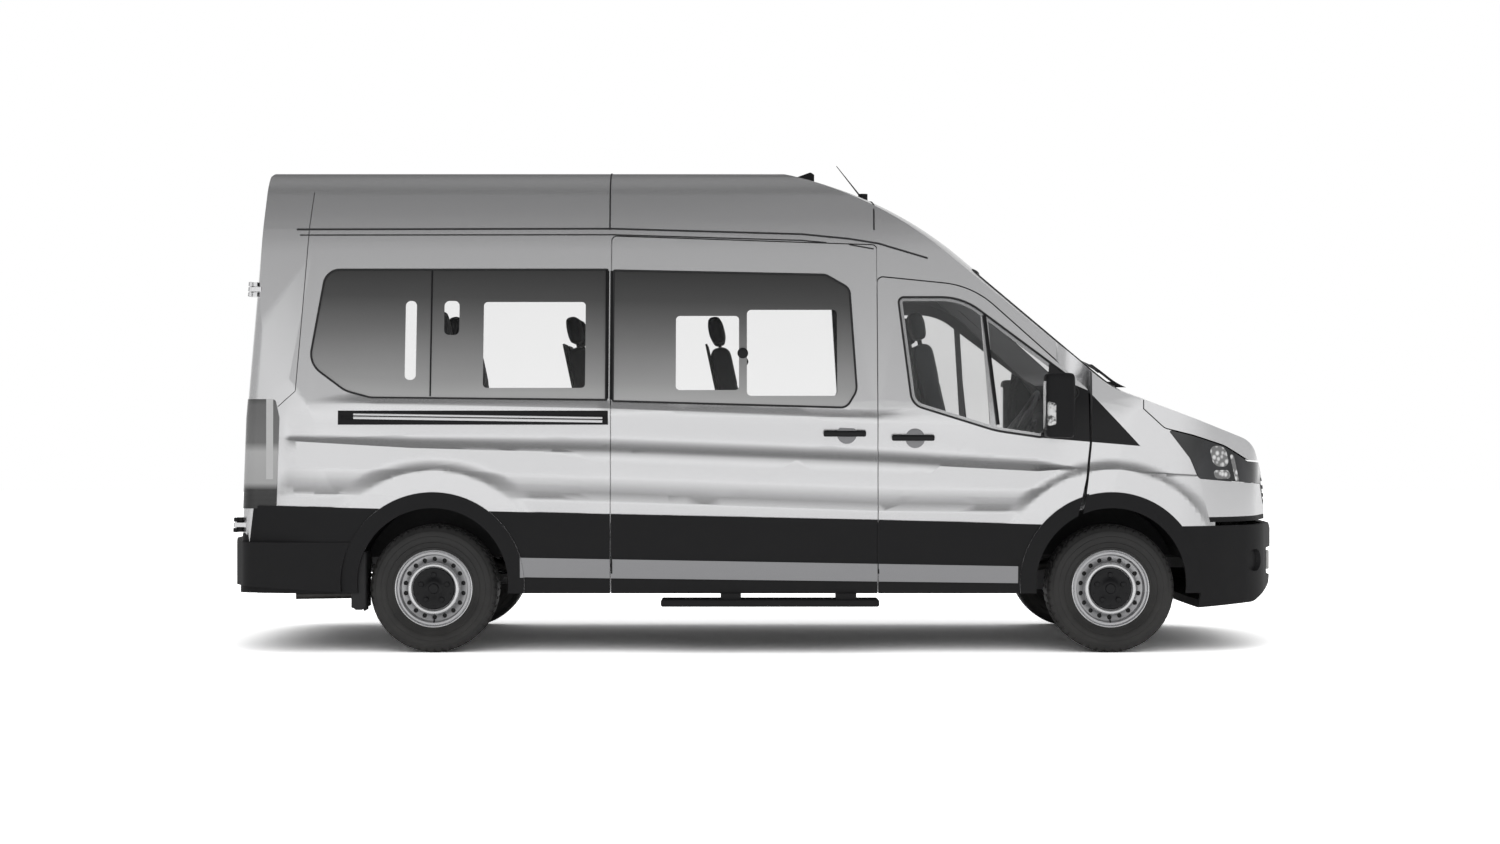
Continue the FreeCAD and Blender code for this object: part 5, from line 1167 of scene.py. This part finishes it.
class MINIBUS_OT_wheels(bpy.types.Operator):
    """Turn the tyres with their tread and sidewall rings, and finish the wheels"""
    bl_idname = "minibus.wheels"
    bl_label = "Wheels"

    # Sections turned about the axle: radius and outward place, in metres. The tyre's are measured from its
    # middle, the lip's from LIP_BACK inside the rim's face, and the others from that face.
    SIDEWALL = ((0.212, 0.092), (0.218, 0.100), (0.226, 0.103), (0.230, 0.101), (0.236, 0.103),
                (0.243, 0.108), (0.255, 0.113), (0.258, 0.1115), (0.261, 0.114), (0.275, 0.1168),
                (0.288, 0.1172), (0.291, 0.1155), (0.294, 0.1165), (0.310, 0.1150), (0.318, 0.1135),
                (0.3205, 0.1110), (0.331, 0.108), (0.3405, 0.1030), (0.3475, 0.0960), (0.3515, 0.0880))
    TREAD = ((0.3525, 0.078), (0.3535, 0.060), (0.3535, 0.0585), (0.3455, 0.0575), (0.3455, 0.0515),
             (0.3537, 0.0505), (0.3540, 0.0250), (0.3540, 0.0235), (0.3460, 0.0225), (0.3460, 0.0165),
             (0.3540, 0.0155), (0.3540, 0.0))
    CAP = ((0.0005, 0.006), (0.024, 0.006), (0.028, 0.003), (0.030, 0.000), (0.046, -0.001),
           (0.052, -0.005), (0.096, -0.006), (0.104, -0.004), (0.112, -0.005), (0.116, -0.010),
           (0.1165, -0.030))
    BRAKE = ((0.118, -0.060), (0.150, -0.058), (0.186, -0.058), (0.188, -0.075))
    RING = ((0.1190, -0.004), (0.1240, 0.004), (0.1300, 0.0065), (0.1370, 0.005), (0.1430, -0.001),
            (0.1450, -0.010))
    LIP = ((0.190, 0.052), (0.194, 0.074), (0.1965, 0.086), (0.199, 0.0885), (0.202, 0.0870),
           (0.2045, 0.0900), (0.207, 0.0975), (0.2105, 0.1005), (0.2145, 0.0990), (0.2165, 0.0930),
           (0.2150, 0.0860))
    LIP_BACK = 0.099
    # the bead's inner radius and half its width, radii of the ring of bolt covers and of the dots
    BEAD, BEAD_HALF, BOLT_RING, DOT_RING = 0.212, 0.080, 0.076, 0.096
    # how far behind the rim's face and below the hub the valve's ends lie
    VALVE_ENDS = ((0.030, 0.176), (0.004, 0.190))

    def execute(self, context):
        steps = context.scene.minibus_sizes.tread_steps
        for end, x in (("front", AXLE_FRONT), ("rear", AXLE_REAR)):
            for side, sign in SIDES:
                name = "%s_%s" % (end, side)
                low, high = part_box("tyre_" + name)
                tyre = self.tyre("tyre_skin_" + name, x, (low.y + high.y) / 2, sign, steps)
                finish_piece(tyre, "wheel_" + name, "tyre", 30.0)
                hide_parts("tyre_" + name)
                dress("rim", "rim_" + name)
                low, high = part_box("rim_" + name)
                self.fittings(name, x, sign, high.y if sign > 0 else low.y)
        return {"FINISHED"}

    def tyre(self, name, x, middle, sign, steps):
        half = self.SIDEWALL + self.TREAD
        rows = [*half, *((r, -out) for r, out in reversed(half[:-1])), (self.BEAD, -self.BEAD_HALF),
                (self.BEAD, self.BEAD_HALF), half[0]]
        tyre = turned(name, rows, x, sign, middle * sign, steps)
        editing(tyre)
        pitch = math.tau / (steps / 3)

        def slot(place, normal):
            reach = math.hypot(place.x - x, place.z - HUB_HEIGHT)
            out = abs(place.y - middle)
            angle = math.atan2(place.z - HUB_HEIGHT, place.x - x)
            shift = 0.0 if out > 0.07 else 0.33
            return (reach > 0.3290 and out > 0.0585 or 0.026 < out < 0.050 and reach > 0.353) \
                and ((angle / pitch + shift) % 1.0) < 0.334
        if pick_faces(tyre, slot):
            bpy.ops.mesh.extrude_region_shrink_fatten(
                TRANSFORM_OT_shrink_fatten={"value": -0.0055, "use_even_offset": False})
        done()
        return tyre

    def fittings(self, name, x, sign, plane):
        """The black centre cap with its bolt covers and dots, the rings of steel painted lighter as a
        highlight, and the valve.
        """
        body, face = "wheel_" + name, plane * sign

        def pad(label, angle, ring, depth_in, radius, depth, bevel, vertices):
            place = (x + ring * math.cos(angle), plane - sign * depth_in, HUB_HEIGHT + ring * math.sin(angle))
            return drum(label, place, radius, depth, bevel, vertices)
        pieces = [turned("cap_" + name, self.CAP, x, sign, face, 60)]
        for number in range(5):
            angle = math.radians(90 + 72 * number)
            pieces.append(pad("bolt_cover", angle, self.BOLT_RING, 0.006, 0.0155, 0.016, 0.004, 20))
            pieces.append(pad("cap_dot", angle + 0.63, self.DOT_RING, 0.005, 0.0045, 0.006, 0.001, 12))
        pieces.append(turned("drum_" + name, self.BRAKE, x, sign, face, 60))
        finish_piece(joined("wheel_cap_" + name, pieces), body, "gloss black", 35.0)
        # The ring and the lip get the lighter steel, a painted highlight.
        ring = turned("hub_ring_" + name, self.RING, x, sign, face, 72)
        finish_piece(ring, body, "steel with painted highlight", 35.0)
        lip = turned("lip_" + name, self.LIP, x, sign, face - self.LIP_BACK, 96)
        ends = [(x, plane - sign * back, HUB_HEIGHT - drop) for back, drop in self.VALVE_ENDS]
        lay("valve_" + name, ends, 0.004, "rubber", body, 40.0)
        finish_piece(lip, body, "steel with painted highlight", 35.0)


class MINIBUS_OT_lamps(bpy.types.Operator):
    """Finish the lamps, and set the blank plates front and rear"""
    bl_idname = "minibus.lamps"
    bl_label = "Lamps and plates"

    def execute(self, context):
        lamps = copied("headlamps", "headlamp_glass")
        finish_piece(lamps, "body", "lamp", 30.0)
        paint_faces(lamps, "plastic", lambda p, n: p.z < 0.70)
        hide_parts("headlamps")
        dress("tail", "tail_lamps")
        for side, sign in SIDES:
            low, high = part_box("mirror_" + side)
            out = high.y if sign > 0 else low.y
            lens = block("mirror_lamp_" + side, (low.x + 0.006, out - sign * 0.070, 1.252),
                         (low.x + 0.064, out + sign * 0.001, 1.392), 0.018, 4)
            finish_piece(lens, "front_door_" + side, "indicator", 40.0)
        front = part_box("front_bumper")[1].x
        self.plate("front_plate", (front - 0.012, front + 0.006), (-0.260, 0.260), 0.420, "body")
        rear = strike(("rear_door_left",), (-3.4, 0.370, 0.910), (1, 0, 0))[0].x
        self.plate("rear_plate", (rear - 0.006, rear + 0.012), (0.110, 0.630), 0.900, "rear_door_left")
        return {"FINISHED"}

    def plate(self, name, x, y, foot, body):
        piece = block(name, (x[0], y[0], foot), (x[1], y[1], foot + 0.110), 0.004, 2)
        finish_piece(piece, body, "plate", 35.0)


class MINIBUS_OT_handles(bpy.types.Operator):
    """Set the door handles on round dishes that are painted darker as the shade of a recess"""
    bl_idname = "minibus.handles"
    bl_label = "Door handles"

    # name, middle X and Z, sign of the side, skin, body
    PLACES = (("sliding", 0.493, 1.211, -1, "sliding_door", "body"),
              ("front_right", 0.871, 1.188, -1, "front_door_right", "front_door_right"),
              ("front_left", 0.871, 1.188, 1, "front_door_left", "front_door_left"))

    def execute(self, context):
        half = context.scene.minibus_sizes.handle / 2
        for name, x, z, sign, skin, body in self.PLACES:
            y = skin_y((skin,), x, z, sign)
            centre = (x + 0.012, y - sign * 0.001, z - 0.001)
            # A thin disc painted darker than the door: the painted shade of a recess.
            dish = drum("handle_dish_" + name, centre, 0.054, 0.006, 0.002, 40)
            finish_piece(dish, body, "dish", 40.0)
            pieces = [block("handle_bar_" + name, (x - half, y + sign * 0.013, z - 0.015),
                            (x + half, y + sign * 0.035, z + 0.018), 0.009, 4)]
            for foot in (x - half * 0.80, x + half * 0.80):
                pieces.append(block("foot", (foot - 0.014, y - sign * 0.004, z - 0.006),
                                    (foot + 0.014, y + sign * 0.020, z + 0.012), 0.003, 2))
            finish_piece(joined("door_handle_" + name, pieces), body, "gloss black", 35.0)
        return {"FINISHED"}


class MINIBUS_OT_seats(bpy.types.Operator):
    """Sew and fill one cushion of each kind, then set its copies on every seat"""
    bl_idname = "minibus.seats"
    bl_label = "Seat cushions"

    # kind: share of fullness, inset and bevel of the block, voxel size over the usual one
    KINDS = {"base": (0.8, 0.008, 0.024, 1.0), "back": (0.75, 0.008, 0.024, 1.0),
             "headrest": (0.9, 0.004, 0.018, 0.65)}
    # distance of the two sewn channels from a pad's middle, and their depth
    CHANNEL, CHANNEL_DEPTH = 0.115, 0.006
    # the way up along a backrest, and a headrest's two posts: Y from its middle, radius, reach down
    LEAN = Vector((-0.2079, 0.0, 0.9781))
    POST_Y, POST_RADIUS, POST_ENDS = 0.060, 0.0095, (0.140, 0.030)

    def execute(self, context):
        whole = copied("seat_cushions", "seat_pad")
        editing(whole, "SELECT")
        bpy.ops.mesh.separate(type="LOOSE")
        done()
        parts = sorted(context.selected_objects,
                       key=lambda part: tuple(round(c, 3) for c in self.middle(part)))
        patterns, counts, posts = {}, {}, []
        for part in parts:
            kind = self.kind(part)
            centre = self.middle(part)
            if kind not in patterns:
                self.upholster(part, kind, context.scene.minibus_sizes)
                patterns[kind] = (part, centre)
            else:
                pattern, place = patterns[kind]
                part.data = pattern.data.copy()
                for vertex in part.data.vertices:
                    vertex.co += centre - place
            counts[kind] = counts.get(kind, 0) + 1
            if kind == "headrest":
                for y in (-self.POST_Y, self.POST_Y):
                    ends = [centre + Vector((0, y, 0)) - self.LEAN * reach for reach in self.POST_ENDS]
                    posts.append(rounded(wire("post", ends), self.POST_RADIUS, 1))
            part.name = "seat_%s_%02d" % (kind, counts[kind])
            finish_piece(part, "body", "fabric", 60.0)
            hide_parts("seat_cushions")
        finish_piece(joined("headrest_posts", posts), "body", "steel", 50.0)
        return {"FINISHED"}

    def box(self, part):
        places = [vertex.co for vertex in part.data.vertices]
        return (Vector(min(p[k] for p in places) for k in range(3)),
                Vector(max(p[k] for p in places) for k in range(3)))

    def middle(self, part):
        low, high = self.box(part)
        return (low + high) / 2

    def kind(self, part):
        low, high = self.box(part)
        return "back" if high.z - low.z > 0.4 else "base" if high.x - low.x > 0.4 else "headrest"

    def upholster(self, part, kind, sizes):
        """Round the block, blow it up as cloth, and draw in its sewn channels."""
        low, high = self.box(part)
        _, inset, bevel, fineness = self.KINDS[kind]
        editing(part, "SELECT")
        bpy.ops.mesh.dissolve_limited(angle_limit=math.radians(1))
        bpy.ops.mesh.select_all(action="SELECT")
        bpy.ops.transform.shrink_fatten(value=-inset, use_even_offset=True)
        bpy.ops.mesh.bevel(offset=bevel, segments=3, affect="EDGES")
        done()
        apply(part, "REMESH", mode="VOXEL", voxel_size=sizes.voxel * fineness)
        before = [vertex.co.copy() for vertex in part.data.vertices]
        self.inflate(part)
        for vertex, start in zip(part.data.vertices, before):
            move = vertex.co - start
            if move.length > sizes.plump:
                vertex.co = start + move.normalized() * sizes.plump
            vertex.co.z = min(max(vertex.co.z, low.z + 0.001), high.z - 0.001)
        if kind != "headrest":
            self.channels(part, kind, (low + high) / 2)
        apply(part, "SUBSURF", levels=1, render_levels=1)

    def inflate(self, part):
        """Twenty frames of cloth under pressure, with no weight."""
        choose(part)
        cloth = part.modifiers.new("fill", "CLOTH")
        cloth.settings.use_pressure = True
        cloth.settings.uniform_pressure_force = 4.0
        cloth.settings.effector_weights.gravity = 0.0
        cloth.point_cache.frame_start, cloth.point_cache.frame_end = 1, 20
        for frame_number in range(1, 21):
            bpy.context.scene.frame_set(frame_number)
        bpy.ops.object.modifier_apply(modifier=cloth.name)
        bpy.context.scene.frame_set(1)

    def channels(self, part, kind, middle):
        """Two seams along the pad and one across it, drawn in by the thread."""
        face_up = (lambda n: n.z > 0.3) if kind == "base" else (lambda n: n.x > 0.3)
        planes = [((0, middle.y + side * self.CHANNEL, 0), (0, 1, 0)) for side in (-1, 1)]
        planes.append(((middle.x - 0.06, 0, 0), (1, 0, 0)) if kind == "base" else
                      ((0, 0, middle.z + 0.08), (0, 0, 1)))
        editing(part)
        for place, normal in planes:
            cut(part, place, normal, lambda p, n: face_up(n))
        done()
        for vertex in part.data.vertices:
            on_seam = any(abs((vertex.co - Vector(place)).dot(Vector(normal))) < 2e-4
                          for place, normal in planes)
            if on_seam and face_up(vertex.normal):
                vertex.co -= vertex.normal * self.CHANNEL_DEPTH


class MINIBUS_OT_kept(bpy.types.Operator):
    """Finish the cabin's and the underbody's plain pieces, which stay as they are"""
    bl_idname = "minibus.kept"
    bl_label = "Cabin and underbody"

    def execute(self, context):
        dress("interior", "dashboard", "steering_wheel", "floor")
        dress("steel", "seat_frames", "chassis", "front_suspension", "rear_axle", "knuckle_left",
              "knuckle_right", "radiator")
        dress("plastic", "wheel_liners", "fuel_tank")
        dress("exhaust", "exhaust")
        dress("engine", "drivetrain")
        return {"FINISHED"}


class MINIBUS_PT_panel(bpy.types.Panel):
    """The minibus and its studio, in the 3D view's sidebar"""
    bl_idname = "MINIBUS_PT_panel"
    bl_label = "Minibus finish"
    bl_space_type = "VIEW_3D"
    bl_region_type = "UI"
    bl_category = "Minibus"

    def draw(self, context):
        for name, kind in SETTINGS:
            box = self.layout.box()
            for field in kind.__annotations__:
                box.prop(getattr(context.scene, name), field)
        for kind in OPERATORS:
            self.layout.operator(kind.bl_idname)


OPERATORS = (MINIBUS_OT_stage, MINIBUS_OT_materials, MINIBUS_OT_bodywork, MINIBUS_OT_plastics,
             MINIBUS_OT_glazing, MINIBUS_OT_seams, MINIBUS_OT_wheels, MINIBUS_OT_lamps, MINIBUS_OT_handles,
             MINIBUS_OT_seats, MINIBUS_OT_kept)
SETTINGS = (("minibus_look", MinibusLook), ("minibus_sizes", MinibusSizes), ("minibus_studio", MinibusStudio))


def register():
    for name, kind in SETTINGS:
        bpy.utils.register_class(kind)
        setattr(bpy.types.Scene, name, PointerProperty(type=kind))
    for kind in (*OPERATORS, MINIBUS_PT_panel):
        bpy.utils.register_class(kind)


def unregister():
    for kind in (MINIBUS_PT_panel, *reversed(OPERATORS)):
        bpy.utils.unregister_class(kind)
    for name, kind in reversed(SETTINGS):
        delattr(bpy.types.Scene, name)
        bpy.utils.unregister_class(kind)


def main():
    register()
    bpy.ops.minibus.stage()
    bpy.ops.minibus.materials()
    bpy.ops.minibus.bodywork()
    bpy.ops.minibus.plastics()
    bpy.ops.minibus.glazing()
    bpy.ops.minibus.seams()
    bpy.ops.minibus.wheels()
    bpy.ops.minibus.lamps()
    bpy.ops.minibus.handles()
    bpy.ops.minibus.seats()
    bpy.ops.minibus.kept()


if __name__ == "__main__":
    main()
